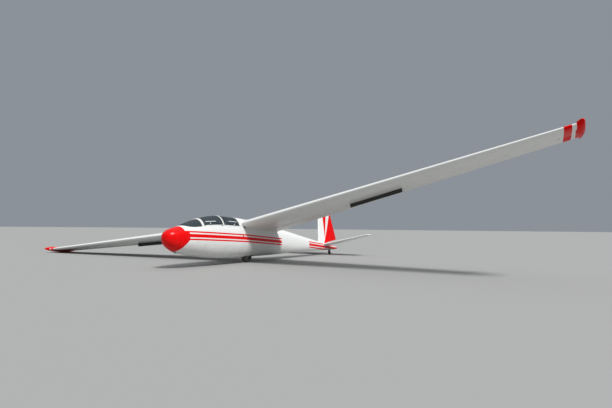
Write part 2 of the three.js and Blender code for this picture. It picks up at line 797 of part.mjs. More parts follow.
// Instrument panels span the cockpit from wall to wall
const PANELS = [
  ["front", 880, -60, 300],
  ["rear", 1690, 60, 330],
];
const PANEL_THICKNESS = 16;
for (const [name, x, low, high] of PANELS) {
  const plate = solid(block([x, -FAR, low], [x + PANEL_THICKNESS, FAR, high]));
  add(`instrument_panel_${name}`, plate.intersect(cockpitRoom), "panel");
}

// Sticks and rudder pedals of both seats
const STICKS = [
  ["front", 1000, 40],
  ["rear", 1745, 50],
];
const STICK = { lean: 25, radius: 9, grip: 115, gripLean: 18, gripRadius: 15 };
for (const [name, x, top] of STICKS) {
  const foot = V(x, 0, FLOOR.top + 2);
  const head = V(x + STICK.lean, 0, top);
  const heel = V(x + STICK.gripLean, 0, top - STICK.grip);
  const grip = solid(rod(heel, head, STICK.gripRadius));
  add(`stick_${name}`, joined(solid(rod(foot, head, STICK.radius)), grip), "dark");
}
const PEDALS = [
  ["front", 700],
  ["rear", 1645],
];
const PEDAL = { thick: 14, barHalf: 120, barTop: 22, apart: 85, half: 32, foot: 10, top: 150 };
for (const [name, x] of PEDALS) {
  const back = x + PEDAL.thick;
  const floor = FLOOR.top;
  const bar = block([x, -PEDAL.barHalf, floor + FIT_GAP], [back, PEDAL.barHalf, floor + PEDAL.barTop]);
  const pads = [-PEDAL.apart, PEDAL.apart].map((y) =>
    solid(block([x, y - PEDAL.half, floor + PEDAL.foot], [back, y + PEDAL.half, floor + PEDAL.top])),
  );
  add(`pedals_${name}`, joined(solid(bar), ...pads).intersect(cockpitRoom), "steel");
}

// Wheels: tyre and hub turn on an axle that a fork carries
function tyreProfile({ radius, rim, half }) {
  const points = [];
  const steps = 10;
  for (let i = 0; i <= steps; i++) {
    const angle = between(-0.42, 1.42, i / steps) * Math.PI;
    const reach = Math.abs(Math.sin(angle)) ** 0.8 * Math.sign(Math.sin(angle));
    const y = -half * Math.sign(Math.cos(angle)) * Math.abs(Math.cos(angle)) ** 0.8;
    points.push(new THREE.Vector2(Math.max(rim, (radius + rim) / 2 + (reach * (radius - rim)) / 2), y));
  }
  points.push(points[0].clone());
  return points;
}
function hubProfile({ rim, half, hub, axle }) {
  const bore = axle + 0.5;
  const bead = half * 0.62;
  const rows = [
    [bore, hub],
    [bore, -hub],
    [bore + 18, -hub],
    [bore + 20, -8],
    [rim - 12, -8],
    [rim - 8, -bead],
    [rim - FIT_GAP, -bead],
    [rim - FIT_GAP, bead],
    [rim - 8, bead],
    [rim - 12, 8],
    [bore + 20, 8],
    [bore + 18, hub],
    [bore, hub],
  ];
  return rows.map(([r, y]) => new THREE.Vector2(r, y));
}
const WHEEL_SIDES = 28;
const tyres = {};
for (const [name, wheel, fork] of [
  ["main", MAIN_WHEEL, MAIN_FORK],
  ["tail", TAIL_WHEEL, TAIL_FORK],
]) {
  const centre = V(wheel.x, 0, wheel.z);
  const turning = moving(`${name}_wheel`, centre, V(0, 1, 0));
  const turned = (profile) =>
    facingOut(new THREE.LatheGeometry(profile, WHEEL_SIDES).translate(centre.x, centre.y, centre.z));
  tyres[name] = add(`${name}_tyre`, turned(tyreProfile(wheel)), "rubber", turning);
  add(`${name}_hub`, turned(hubProfile(wheel)), "steel", turning);
  const reach = V(0, fork.half + 8, 0);
  const [port, starboard] = [centre.clone().sub(reach), centre.clone().add(reach)];
  add(`${name}_axle`, rod(port, starboard, wheel.axle), "steel");
}

// A fork: two plates on a bridge, hung from the wheel well's roof or the tail cone
function forkSolid({ x, z, axle }, { half, width, plate, top, bridge, foot }) {
  const yoke = block([x - width, -half, top - bridge], [x + width, half, top]);
  const cheeks = [-half, half - plate].map((y) =>
    solid(block([x - width, y, z - axle - foot], [x + width, y + plate, top])),
  );
  const bore = solid(rod(V(x, -2 * half, z), V(x, 2 * half, z), axle + FIT_GAP));
  return joined(solid(yoke), ...cheeks).subtract(bore);
}
add("main_fork", forkSolid(MAIN_WHEEL, MAIN_FORK), "steel");
add("tail_fork", largest(forkSolid(TAIL_WHEEL, TAIL_FORK).subtract(cone(-FIT_GAP))), "dark");

// Tow hook under the nose
const hook = sideCut(
  [
    [318, -250],
    [396, -250],
    [396, -352],
    [378, -362],
    [362, -352],
    [356, -338],
    [318, -332],
  ],
  -9,
  9,
);
const noseRoom = body(NOSE_TIP + 1, NOSE_END - FIT_GAP, -FIT_GAP, 9);
add("tow_hook", largest(solid(hook).subtract(noseRoom)), "steel");

// At rest: the pitch and roll at which the lowest points of both tyres and of the starboard tip body
// are level
function lowest(mesh) {
  const p = mesh.geometry.attributes.position;
  let low = Infinity;
  for (let i = 0; i < p.count; i++) low = Math.min(low, mesh.localToWorld(V().fromBufferAttribute(p, i)).z);
  return low;
}
airframe.rotation.order = "YXZ";
const WHEELBASE = TAIL_WHEEL.x - MAIN_WHEEL.x;
const PASSES = 40;
for (let pass = 0; pass < PASSES; pass++) {
  airframe.updateMatrixWorld(true);
  const [main, tail, tip] = [tyres.main, tyres.tail, tips.starboard].map(lowest);
  airframe.rotation.y += (tail - main) / WHEELBASE;
  airframe.rotation.x -= (tip - main) / TIP.at;
}
airframe.updateMatrixWorld(true);
const bounds = new THREE.Box3().setFromObject(airframe, true);
const middle = bounds.getCenter(V());
airframe.position.set(-middle.x, -middle.y, -bounds.min.z);

const sailplane = new THREE.Group();
sailplane.add(airframe);

export default sailplane;
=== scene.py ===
"""A two-seat all-metal training sailplane, parked with its starboard wing tip on the ground.

Sizes are in metres. Every piece is drawn on the airframe's own axes, which are the station aft of the
nose datum, the distance to starboard and the height, and is then stood in the row frame.
"""

import json

import bmesh
import bpy
import numpy as np
from mathutils import Matrix, Vector


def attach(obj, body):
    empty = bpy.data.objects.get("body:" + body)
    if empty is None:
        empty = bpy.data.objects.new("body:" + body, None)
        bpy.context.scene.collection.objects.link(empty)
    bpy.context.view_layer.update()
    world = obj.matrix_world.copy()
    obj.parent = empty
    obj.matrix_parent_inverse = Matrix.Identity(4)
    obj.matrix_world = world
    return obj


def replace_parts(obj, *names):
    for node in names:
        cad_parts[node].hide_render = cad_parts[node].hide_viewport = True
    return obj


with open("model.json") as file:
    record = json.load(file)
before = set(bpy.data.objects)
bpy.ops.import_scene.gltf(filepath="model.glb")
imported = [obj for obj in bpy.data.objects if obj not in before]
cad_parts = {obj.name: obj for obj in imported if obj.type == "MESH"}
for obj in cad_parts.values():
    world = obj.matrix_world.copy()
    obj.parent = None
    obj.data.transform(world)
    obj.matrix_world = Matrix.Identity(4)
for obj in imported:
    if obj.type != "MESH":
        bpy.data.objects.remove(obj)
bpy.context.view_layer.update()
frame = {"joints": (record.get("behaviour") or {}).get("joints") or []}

# Airframe axes
# The aircraft leans to starboard and sits nose high, so its axes come from two of its joints: the main
# wheel's axle gives starboard, the port upper airbrake's slide gives up, and the wheel's hub the place.
MAIN_AXLE = (2.850, 0.0, -0.358)

joints = {joint["name"]: joint for joint in frame["joints"]}
starboard = np.array(joints["main_wheel_spin"]["axis"])
upward = np.array(joints["airbrake_upper_port_slide"]["axis"])
aft = np.cross(starboard, upward)
axes = np.stack([aft, starboard, upward])
datum = np.array(joints["main_wheel_spin"]["pos_m"]) - np.array(MAIN_AXLE) @ axes


def standing(points):
    """Airframe points in the row frame: the datum, plus each coordinate times its own axis."""
    return datum + points @ axes


# Camera
# A wide-angle view from chest height, ahead of the port wing, so that the nose is near and the starboard
# wing runs away to its tip.
EYE = datum[:2] + np.array([-6.522, -7.670])
EYE_HEIGHT = 0.926
LOOK = Vector((0.8509, 0.5224, 0.0550)).normalized()
ROLL = -0.511
FOCAL = 440.56
FRAME_WIDTH = 612
SENSOR = 36

camera = bpy.data.objects.new("camera", bpy.data.cameras.new("camera"))
camera.data.lens = FOCAL / FRAME_WIDTH * SENSOR
camera.data.sensor_width = SENSOR
right = LOOK.cross(Vector((0, 0, 1))).normalized()
right = Matrix.Rotation(np.radians(ROLL), 3, LOOK) @ right
stance = Matrix((right, right.cross(LOOK), -LOOK)).transposed().to_4x4()
camera.matrix_world = Matrix.Translation((*EYE, EYE_HEIGHT)) @ stance
bpy.context.scene.collection.objects.link(camera)
bpy.context.scene.camera = camera

# Studio
# A pale floor runs out to a plain grey-blue backdrop, brighter overhead. The one broad lamp stands ahead
# of the wing and to port, and the backdrop fills the shaded sides.
FLOOR_COLOUR = (0.32, 0.32, 0.31, 1)
FLOOR_ROUGHNESS = 0.9
SKY = (0.62, 0.68, 0.76, 1)
ZENITH = (1.8, 1.85, 1.9, 1)
SKY_STRENGTH = 0.42
SKY_RISE = (0.50, 0.78)
FLOOR_HALF = 400
LAMP_FROM = (-0.30, -0.62, 0.95)
LAMP_STRENGTH = 3.1
LAMP_BREADTH = 14

floor_mesh = bpy.data.meshes.new("floor")
floor_corners = [(x * FLOOR_HALF, y * FLOOR_HALF, 0) for x, y in ((-1, -1), (1, -1), (1, 1), (-1, 1))]
floor_mesh.from_pydata(floor_corners, [], [(0, 1, 2, 3)])
floor = bpy.data.objects.new("floor", floor_mesh)
bpy.context.scene.collection.objects.link(floor)
floor_paint = bpy.data.materials.new("floor")
floor_paint.use_nodes = True
floor_shader = floor_paint.node_tree.nodes["Principled BSDF"]
floor_shader.inputs["Base Color"].default_value = FLOOR_COLOUR
floor_shader.inputs["Roughness"].default_value = FLOOR_ROUGHNESS
floor_mesh.materials.append(floor_paint)

world = bpy.data.worlds.new("studio")
world.use_nodes = True
sky_nodes = world.node_tree.nodes
sky_ramp = sky_nodes.new("ShaderNodeMix")
sky_ramp.data_type = "RGBA"
sky_ramp.inputs[6].default_value, sky_ramp.inputs[7].default_value = SKY, ZENITH
sky_split = sky_nodes.new("ShaderNodeSeparateXYZ")
sky_place = sky_nodes.new("ShaderNodeTexCoord")
sky_rise = sky_nodes.new("ShaderNodeMapRange")
sky_rise.inputs["From Min"].default_value, sky_rise.inputs["From Max"].default_value = SKY_RISE
for source, target in (
    (sky_place.outputs["Generated"], sky_split.inputs[0]),
    (sky_split.outputs["Z"], sky_rise.inputs["Value"]),
    (sky_rise.outputs[0], sky_ramp.inputs[0]),
    (sky_ramp.outputs[2], sky_nodes["Background"].inputs["Color"]),
):
    world.node_tree.links.new(source, target)
sky_nodes["Background"].inputs["Strength"].default_value = SKY_STRENGTH
bpy.context.scene.world = world
bpy.context.scene.view_settings.view_transform = "Standard"

lamp = bpy.data.objects.new("lamp", bpy.data.lights.new("lamp", "SUN"))
lamp.data.energy = LAMP_STRENGTH
lamp.data.angle = np.radians(LAMP_BREADTH)
lamp.rotation_euler = Vector(LAMP_FROM).to_track_quat("Z", "Y").to_euler()
bpy.context.scene.collection.objects.link(lamp)

# Fuselage lines
# The body is a row of ovals, each given by its half width, the top over the canopy, the bottom and the
# height of its widest point. The nose is round because the lines run on the root of the station.
NOSE_TIP = 0.045
NOSE_END = 0.420
BULKHEAD = 2.390
TAIL_JOINT = 4.250
TAIL_END = 8.165
OVAL_POWER = 2.25
JOINT_GAP = 0.0003
BODY = np.array(
    [
        # station, half width, top, bottom, waist
        [0.045, 0.000, 0.000, 0.000, -0.008],
        [0.080, 0.108, 0.096, -0.122, -0.012],
        [0.160, 0.182, 0.166, -0.212, -0.020],
        [0.300, 0.244, 0.226, -0.290, -0.028],
        [0.440, 0.276, 0.272, -0.343, -0.028],
        [0.620, 0.294, 0.352, -0.368, -0.020],
        [0.830, 0.307, 0.432, -0.390, -0.005],
        [1.170, 0.319, 0.538, -0.420, 0.010],
        [1.580, 0.323, 0.622, -0.437, 0.020],
        [2.100, 0.321, 0.640, -0.431, 0.025],
        [2.600, 0.313, 0.636, -0.405, 0.035],
        [3.200, 0.288, 0.600, -0.364, 0.050],
        [3.750, 0.256, 0.548, -0.328, 0.065],
        [4.250, 0.227, 0.498, -0.290, 0.075],
        [4.870, 0.195, 0.436, -0.240, 0.080],
        [5.750, 0.150, 0.328, -0.174, 0.070],
        [6.790, 0.104, 0.208, -0.106, 0.052],
        [7.500, 0.074, 0.138, -0.064, 0.038],
        [8.000, 0.052, 0.086, -0.034, 0.026],
        [8.165, 0.038, 0.062, -0.016, 0.023],
    ]
)
SILL = np.array(
    [
        # station, height
        [0.380, 0.304],
        [0.440, 0.280],
        [0.530, 0.248],
        [0.620, 0.226],
        [0.740, 0.226],
        [1.010, 0.258],
        [1.400, 0.298],
        [1.700, 0.320],
        [2.450, 0.336],
    ]
)


def body_lines(station):
    """Half width, top, bottom and waist at each station: a cubic through each column of BODY, taken on
    the square root of the distance from the nose tip, with slopes from the rows on either side."""
    knots = np.sqrt(BODY[:, 0] - NOSE_TIP)
    values = BODY[:, 1:]
    slopes = np.empty_like(values)
    slopes[1:-1] = (values[2:] - values[:-2]) / (knots[2:] - knots[:-2])[:, None]
    slopes[0] = (values[1] - values[0]) / (knots[1] - knots[0])
    slopes[-1] = (values[-1] - values[-2]) / (knots[-1] - knots[-2])
    u = np.sqrt(np.maximum(np.asarray(station, float) - NOSE_TIP, 0))
    row = np.clip(np.searchsorted(knots, u) - 1, 0, len(knots) - 2)
    step = (knots[row + 1] - knots[row])[..., None]
    t = (u - knots[row])[..., None] / step
    rise = values[row + 1] - values[row]
    early = slopes[row] * step - rise
    late = rise - slopes[row + 1] * step
    made = values[row] + rise * t + t * (1 - t) * (early * (1 - t) + late * t)
    return np.moveaxis(made, -1, 0)


def oval(station, angle, inset=0.0):
    """Points of the body: at each angle the width goes as the cosine and the height as the sine, both
    to the power of two over OVAL_POWER, from the waist up to the top or down to the bottom."""
    station, angle, inset = np.broadcast_arrays(station, angle, inset)
    half, top, bottom, waist = body_lines(station)
    power = 2 / OVAL_POWER
    across = np.sign(np.cos(angle)) * np.abs(np.cos(angle)) ** power
    tall = np.sign(np.sin(angle)) * np.abs(np.sin(angle)) ** power
    reach = np.where(tall > 0, top - inset - waist, waist - bottom - inset)
    return np.stack([station, across * (half - inset), waist + tall * reach], axis=-1)


def angle_at(station, height, inset=0.0):
    """The angle on the starboard side at which the oval reaches a height, or a right angle past its top."""
    _, top, bottom, waist = body_lines(station)
    reach = np.where(height > waist, top - inset - waist, waist - bottom - inset)
    share = np.clip(np.abs(height - waist) / np.maximum(reach, 1e-6), 0, 1)
    return np.sign(height - waist) * np.arcsin(share ** (OVAL_POWER / 2))


def sill_height(station):
    """The height of the cockpit's edge at each station, straight between the rows of SILL."""
    return np.interp(station, SILL[:, 0], SILL[:, 1])


def stations(first, last, count):
    """Stations spaced evenly on the root of the distance from the nose tip, so closer at the nose."""
    return NOSE_TIP + np.linspace(np.sqrt(first - NOSE_TIP), np.sqrt(last - NOSE_TIP), count) ** 2


def filled(edge, shares):
    """A wall across the body from one edge: each point of it has the edge's width times a share."""
    return np.where([False, True, False], edge[:, None] * shares, edge[:, None])


def spanned(edge):
    """A wall between a ring's two flanks: each of its rows runs level from one side to the other."""
    return filled(edge, np.linspace(1, -1, 9)[None, :, None])


def smoothed(mesh, sharp):
    """Rounds the shading, except over edges that turn by more than the given angle in degrees."""
    mesh.polygons.foreach_set("use_smooth", np.ones(len(mesh.polygons), bool))
    mesh.set_sharp_from_angle(angle=np.radians(sharp))


def read_vertices(mesh, key):
    """Every vertex's place or normal, a row each."""
    found = np.empty(len(mesh.vertices) * 3)
    mesh.vertices.foreach_get(key, found)
    return found.reshape(-1, 3)


def in_airframe(points):
    """Where points of the frame lie in the airframe."""
    return (points - datum) @ axes.T


def keep_place(mesh):
    """Writes every vertex's airframe place on a mesh."""
    place = mesh.attributes.get("airframe") or mesh.attributes.new("airframe", "FLOAT_VECTOR", "POINT")
    place.data.foreach_set("vector", in_airframe(read_vertices(mesh, "co")).ravel())


def made_of(name, patches, body, paint, node=None, sharp=32, weld=2e-5):
    """One object from grids of airframe points, each alone or with a paint of its own, which may have a
    mask of the faces that it is for. A grid is rows by columns, its neighbours' shared edges are welded,
    the faces are turned outwards, and every vertex keeps its airframe place. The piece stands for a node
    of the solid model where one is named."""
    points, faces, coats, paints, first = [], [], [], [paint], 0
    for patch in patches:
        grid, coat, *mask = patch if isinstance(patch, tuple) else (patch, paint)
        if coat not in paints:
            paints.append(coat)
        rows, columns = grid.shape[:2]
        index = first + np.arange(rows * columns).reshape(rows, columns)
        corners = [index[:-1, :-1], index[:-1, 1:], index[1:, 1:], index[1:, :-1]]
        faces.append(np.stack(corners, axis=-1).reshape(-1, 4))
        points.append(grid.reshape(-1, 3))
        chosen = mask[0].ravel() if mask else np.ones(len(faces[-1]), bool)
        coats.append(np.where(chosen, paints.index(coat), 0).astype(np.int32))
        first += rows * columns
    points, faces = np.concatenate(points), np.concatenate(faces)
    mesh = bpy.data.meshes.new(name)
    mesh.vertices.add(len(points))
    mesh.vertices.foreach_set("co", standing(points).ravel())
    mesh.loops.add(faces.size)
    mesh.loops.foreach_set("vertex_index", faces.ravel())
    mesh.polygons.add(len(faces))
    mesh.polygons.foreach_set("loop_start", np.arange(len(faces)) * 4)
    mesh.polygons.foreach_set("material_index", np.concatenate(coats))
    mesh.update(calc_edges=True)
    work = bmesh.new()
    work.from_mesh(mesh)
    bmesh.ops.remove_doubles(work, verts=work.verts, dist=weld)
    bmesh.ops.dissolve_degenerate(work, edges=work.edges, dist=weld / 2)
    bmesh.ops.recalc_face_normals(work, faces=work.faces)
    if work.calc_volume(signed=True) < 0:
        bmesh.ops.reverse_faces(work, faces=work.faces)
    work.to_mesh(mesh)
    work.free()
    smoothed(mesh, sharp)
    keep_place(mesh)
    for coat in paints:
        mesh.materials.append(coat)
    piece = bpy.data.objects.new(name, mesh)
    bpy.context.scene.collection.objects.link(piece)
    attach(piece, body)
    if node:
        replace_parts(piece, node)
    return piece


# Paint
# White two-pack gloss over riveted aluminium sheet. The rivets are rows of small domes on the frames and
# stringers, the sheet's edges are fine dark lines, and a grey-green tint darkens the white towards the
# bottom: random dirt, plus painted shade that grows where the body lies low.
WHITE = (0.80, 0.80, 0.78, 1)
RED = (0.76, 0.0015, 0.002, 1)
# Grey-green tint for dirt and wear, and for the painted shade low on the body.
GRIME_AND_SHADE = (0.42, 0.42, 0.37, 1)
SEAM_DIRT = (0.16, 0.16, 0.15, 1)
RIVET_DIRT = (0.22, 0.22, 0.21, 1)
RIVET = (0.0032, 0.0012)
RIVET_SPACING = 0.024
SEAM = (0.0012, 0.0006)
SEAM_EVERY = 3
SEAM_ASIDE = 0.12
FRAME_PITCH = 0.255
STRINGERS = (0.13, -0.16, -0.34)
GIRTH = 0.30
STRIPES = (
    # upper edge, lower edge
    (0.130, 0.093),
    (0.061, -0.017),
    (-0.046, -0.082),
)
STRIPE_RISE = (0.63, 2.45, 0.030)
STRIPE_FALL = (6.00, 7.95, 0.055)
STRIPES_FROM = 0.40
STRIPES_BREAK = (4.28, 6.00)
NOSE_EDGES = (
    # station, the height that it is at, slope
    (0.410, 0.285, -0.26),
    (0.345, -0.310, 0.93),
)
NOSE_LATEST = 0.56
NOSE_POINT = 0.128


class Signal:
    """A value that a material's nodes work out. A sum written with it adds a Math node."""

    def __init__(self, nodes, socket):
        self.nodes, self.socket = nodes, socket

    def __add__(self, other):
        return self.nodes.sum("ADD", self, other)

    def __radd__(self, other):
        return self.nodes.sum("ADD", other, self)

    def __sub__(self, other):
        return self.nodes.sum("SUBTRACT", self, other)

    def __rsub__(self, other):
        return self.nodes.sum("SUBTRACT", other, self)

    def __mul__(self, other):
        return self.nodes.sum("MULTIPLY", self, other)

    def __truediv__(self, other):
        return self.nodes.sum("DIVIDE", self, other)

    def __pow__(self, other):
        return self.nodes.sum("POWER", self, other)

    def __abs__(self):
        return self.nodes.sum("ABSOLUTE", self)


class Nodes:
    """A material's node tree: each call adds a node and gives back what it works out."""

    def __init__(self, name, colour, roughness):
        self.material = bpy.data.materials.new(name)
        self.material.use_nodes = True
        self.tree = self.material.node_tree
        self.shader = self.tree.nodes["Principled BSDF"]
        self.surface(Base_Color=colour, Roughness=roughness)

    def feed(self, socket, value):
        """Links a worked-out value to a socket, or sets a plain one on it."""
        value = value.socket if isinstance(value, Signal) else value
        if isinstance(value, bpy.types.NodeSocket):
            self.tree.links.new(value, socket)
        else:
            socket.default_value = value

    def add(self, kind, settings=(), **inputs):
        node = self.tree.nodes.new(kind)
        for key, value in dict(settings).items():
            setattr(node, key, value)
        for key, value in inputs.items():
            self.feed(node.inputs[key.replace("_", " ")], value)
        return node

    def surface(self, **inputs):
        """Feeds the shader's own sockets."""
        for key, value in inputs.items():
            self.feed(self.shader.inputs[key.replace("_", " ")], value)

    def sum(self, operation, *values):
        node = self.add("ShaderNodeMath", {"operation": operation})
        for socket, value in zip(node.inputs, values):
            self.feed(socket, value)
        return Signal(self, node.outputs[0])

    def parts(self, vector):
        """A vector's three parts, and the vector."""
        split = self.add("ShaderNodeSeparateXYZ", Vector=vector)
        return [Signal(self, socket) for socket in (*split.outputs, vector)]

    def place(self):
        """The vertex's airframe place, as its station, distance to starboard, height and the vector."""
        return self.parts(self.add("ShaderNodeAttribute", {"attribute_name": "airframe"}).outputs["Vector"])

    def step(self, value, edge, width=0.0015):
        """0 below an edge and 1 above it, over a short ramp."""
        ends = {"From_Min": edge - width, "From_Max": edge + width}
        node = self.add("ShaderNodeMapRange", {"clamp": True}, Value=value, **ends)
        return Signal(self, node.outputs[0])

    def below(self, value, edge, width=0.0015):
        """1 below an edge and 0 above it."""
        return 1.0 - self.step(value, edge, width)

    def within(self, value, low, high):
        """1 between two edges and 0 outside them."""
        return self.step(value, low) * self.below(value, high)

    def noise(self, scale, detail=3.0, vector=None):
        vector = vector or self.place()[3]
        node = self.add("ShaderNodeTexNoise", Vector=vector, Scale=scale, Detail=detail)
        return Signal(self, node.outputs["Fac"])

    def blend(self, share, first, second):
        node = self.add("ShaderNodeMix", {"data_type": "RGBA"})
        for socket, value in ((0, share), (6, first), (7, second)):
            self.feed(node.inputs[socket], value)
        return node.outputs[2]

    def bump(self, height, depth, strength=1.0):
        node = self.add("ShaderNodeBump", Height=height, Distance=depth, Strength=strength)
        self.surface(Normal=node.outputs[0])

    def near(self, value, pitch, offset=0.0):
        """The distance from a value to the nearest line of an even row of lines."""
        return self.sum("PINGPONG", value + (pitch * 1000 - offset), pitch / 2)


def shaded(colour, share, lift=0.0):
    """A colour made darker or lighter by a share, and lifted towards white."""
    return (*(min(1, c * share + lift) for c in colour[:3]), 1)


def seamed(nodes, along, across, pitch, spacing, rows=()):
    """Rivets and sheet edges: the height of rivet heads on rows a pitch apart along one direction and a
    spacing apart across it, and on extra rows the other way, with a groove on every third row."""

    def heads(line, dot):
        return nodes.below((line**2 + dot**2) ** 0.5, *RIVET)

    domes = heads(nodes.near(along, pitch), nodes.near(across, spacing))
    for row in rows:
        domes = nodes.sum("MAXIMUM", domes, heads(abs(across - row), nodes.near(along, spacing)))
    return domes, nodes.step(nodes.near(along, pitch * SEAM_EVERY, pitch * SEAM_ASIDE), *SEAM)


def finish_paint(nodes, colour, domes, groove, height, red, gloss):
    """Gloss paint with a trace of orange peel. A random film of dirt dulls the white, and painted shade
    darkens it most where it lies low.
    """
    # Painted shade: on top of the dirt's random film, the tint grows strongest where the body lies low.
    low = nodes.below(height, -0.12, 0.22)
    dulling = nodes.noise(2.3, 5.0) * nodes.noise(9.0, 3.0) * (0.15 + low * 0.85)
    colour = nodes.blend(dulling * (1.0 - red), colour, GRIME_AND_SHADE)
    colour = nodes.blend((1.0 - groove) * 0.45, colour, SEAM_DIRT)
    colour = nodes.blend(domes * 0.28, colour, RIVET_DIRT)
    nodes.surface(Base_Color=colour, Roughness=0.20 + dulling * 0.5, Specular_IOR_Level=gloss)
    nodes.surface(Coat_Weight=0.04, Coat_Roughness=0.08)
    nodes.bump(domes * 1.6 + groove * 0.8 + nodes.noise(3.5, 2.0) * 1.6, 0.0009, 0.6)
    return nodes.material


def body_paint():
    """The fuselage: white with a red nose, whose edge runs back to a point and into three stripes."""
    nodes = Nodes("body_paint", WHITE, 0.25)
    station, side, height, _ = nodes.place()
    girth = nodes.sum("ARCTAN2", height, abs(side)) * GIRTH
    domes, groove = seamed(nodes, station, girth, FRAME_PITCH, RIVET_SPACING, STRINGERS)
    level = height
    for (first, last, rise), way in ((STRIPE_RISE, "SUBTRACT"), (STRIPE_FALL, "ADD")):
        ends = {"From_Min": first, "From_Max": last, "To_Max": rise}
        ramp = nodes.add("ShaderNodeMapRange", {"clamp": True}, Value=station, **ends)
        level = nodes.sum(way, level, ramp.outputs[0])
    stripes = 0.0
    for upper, lower in STRIPES:
        stripes = nodes.sum("MAXIMUM", stripes, nodes.within(level, lower, upper))
    stripes = stripes * (1.0 - nodes.within(station, *STRIPES_BREAK))
    upper, lower = (start + (height - middle) * slope for start, middle, slope in NOSE_EDGES)
    edge = nodes.sum("MINIMUM", upper + nodes.below(level, NOSE_POINT), lower)
    nose = nodes.below(station, nodes.sum("MINIMUM", edge, NOSE_LATEST))
    side_band = nodes.within(level, STRIPES[-1][1], STRIPES[0][0]) * nodes.step(station, STRIPES_FROM)
    red = nodes.sum("MAXIMUM", nose, stripes * side_band)
    return finish_paint(nodes, nodes.blend(red, WHITE, RED), domes, groove, height, red, 0.16)


fuselage_paint = body_paint()
ROUND = np.linspace(np.pi / 2, -1.5 * np.pi, 97)
HALF_ROUND = len(ROUND) // 2 + 1

nose = oval(stations(NOSE_TIP, NOSE_END - JOINT_GAP, 40)[:, None], ROUND)
nose[0] = nose[0].mean(axis=0)
nose_patches = [nose, spanned(nose[-1, :HALF_ROUND])]
made_of("nose_skin", nose_patches, "airframe", fuselage_paint, "nose_cap")

# Cockpit shell
# The forward fuselage is a riveted aluminium tub. Its edge is rolled in to a level sill, the walls inside
# are sprayed grey, and a plate closes it in front of the pedals and behind the rear seat.
WALL = 0.022
ROOM_FROM = 0.510
ROOM_TO = 2.368
LINING = (0.30, 0.31, 0.31, 1)


def lining_paint():
    """Matt grey enamel with faint brushing and scuffs."""
    nodes = Nodes("lining_paint", LINING, 0.6)
    station, _, height, _ = nodes.place()
    marks = nodes.noise(26.0, 6.0)
    colour = nodes.blend(marks * 0.5, LINING, (0.42, 0.43, 0.42, 1))
    nodes.surface(Base_Color=colour, Roughness=0.42 + marks * 0.3)
    domes, _ = seamed(nodes, station, height, 0.17, 0.03)
    nodes.bump(domes + marks, 0.0008, 0.5)
    return nodes.material


def row_between(first, last, count):
    """Evenly spaced points from one edge of a strip to the other."""
    share = np.linspace(0, 1, count)[None, :, None]
    return first[:, None] * (1 - share) + last[:, None] * share


def mirrored(points):
    """The same points on the other side of the body."""
    return points * np.array([1, -1, 1])


def at_height(points, height):
    """The same points brought to a height."""
    return np.where([False, False, True], height, points)


interior_paint = lining_paint()
front = np.linspace(NOSE_END, 0.5, 400)
open_from = front[np.argmax(body_lines(front)[1] > sill_height(front))]
full = stations(NOSE_END, open_from, 5)[:, None]
fore_rows = stations(open_from, ROOM_FROM, 6)
FORE = len(fore_rows) - 1
opened = np.concatenate([fore_rows[:-1], stations(ROOM_FROM, ROOM_TO, 70)])
turn = np.linspace(0, 1, len(ROUND))


def below_sill(station, inset):
    """The ring under the sill, from its starboard edge down round the keel to its port edge."""
    edge = angle_at(station, sill_height(station), inset)
    edge = np.where(np.isclose(station, open_from), np.pi / 2, edge)[:, None]
    return oval(station[:, None], edge + turn * (-np.pi - 2 * edge), inset)


outer = below_sill(np.append(opened, BULKHEAD), 0.0)
room = below_sill(opened[FORE:], WALL)
deck = row_between(outer[FORE:-1, 0], room[:, 0], 4)
lid_middle = row_between(room[:, 0], mirrored(room[:, 0]), 9)
level = np.concatenate([deck[:, :-1], lid_middle, mirrored(deck[:, -2::-1])], axis=1)
share = level[..., 1:2] / level[:, :1, 1:2]
arch_ends = np.array([ROOM_TO, BULKHEAD])
arch_angle = angle_at(arch_ends, sill_height(arch_ends))[:, None]
arch = oval(arch_ends[:, None], np.pi / 2 + (arch_angle - np.pi / 2) * np.linspace(0, 1, 25))
rear_ring = np.concatenate([arch[1], outer[-1, 1:HALF_ROUND]])
cockpit_patches = [oval(full, ROUND), outer, deck, mirrored(deck), filled(outer[: FORE + 1, 0], share[0])]
cockpit_patches += [arch, mirrored(arch), filled(arch[0], share[-1])]
cockpit_patches += [spanned(oval(NOSE_END, ROUND[:HALF_ROUND])), spanned(rear_ring)]
linings = [room, spanned(room[0, :HALF_ROUND]), spanned(room[-1, :HALF_ROUND])]
cockpit_patches += [(grid, interior_paint) for grid in linings]
made_of("cockpit_skin", cockpit_patches, "airframe", fuselage_paint, "cockpit_shell")

# Centre section
# The turtle deck behind the canopy carries the wing spar. The main wheel stands half in an open well
# under it, whose walls are bare zinc-chromated sheet.
WELL_FROM = 2.640
WELL_TO = 3.060
WELL_HALF = 0.112
WELL_TOP = -0.140
WELL_GREEN = (0.20, 0.23, 0.17, 1)


def well_paint():
    """Dull primer, blotched with oil and dirt."""
    nodes = Nodes("well_paint", WELL_GREEN, 0.75)
    stain = nodes.noise(14.0, 6.0)
    nodes.surface(Base_Color=nodes.blend(stain, WELL_GREEN, (0.09, 0.085, 0.07, 1)))
    nodes.bump(stain, 0.001, 0.4)
    return nodes.material
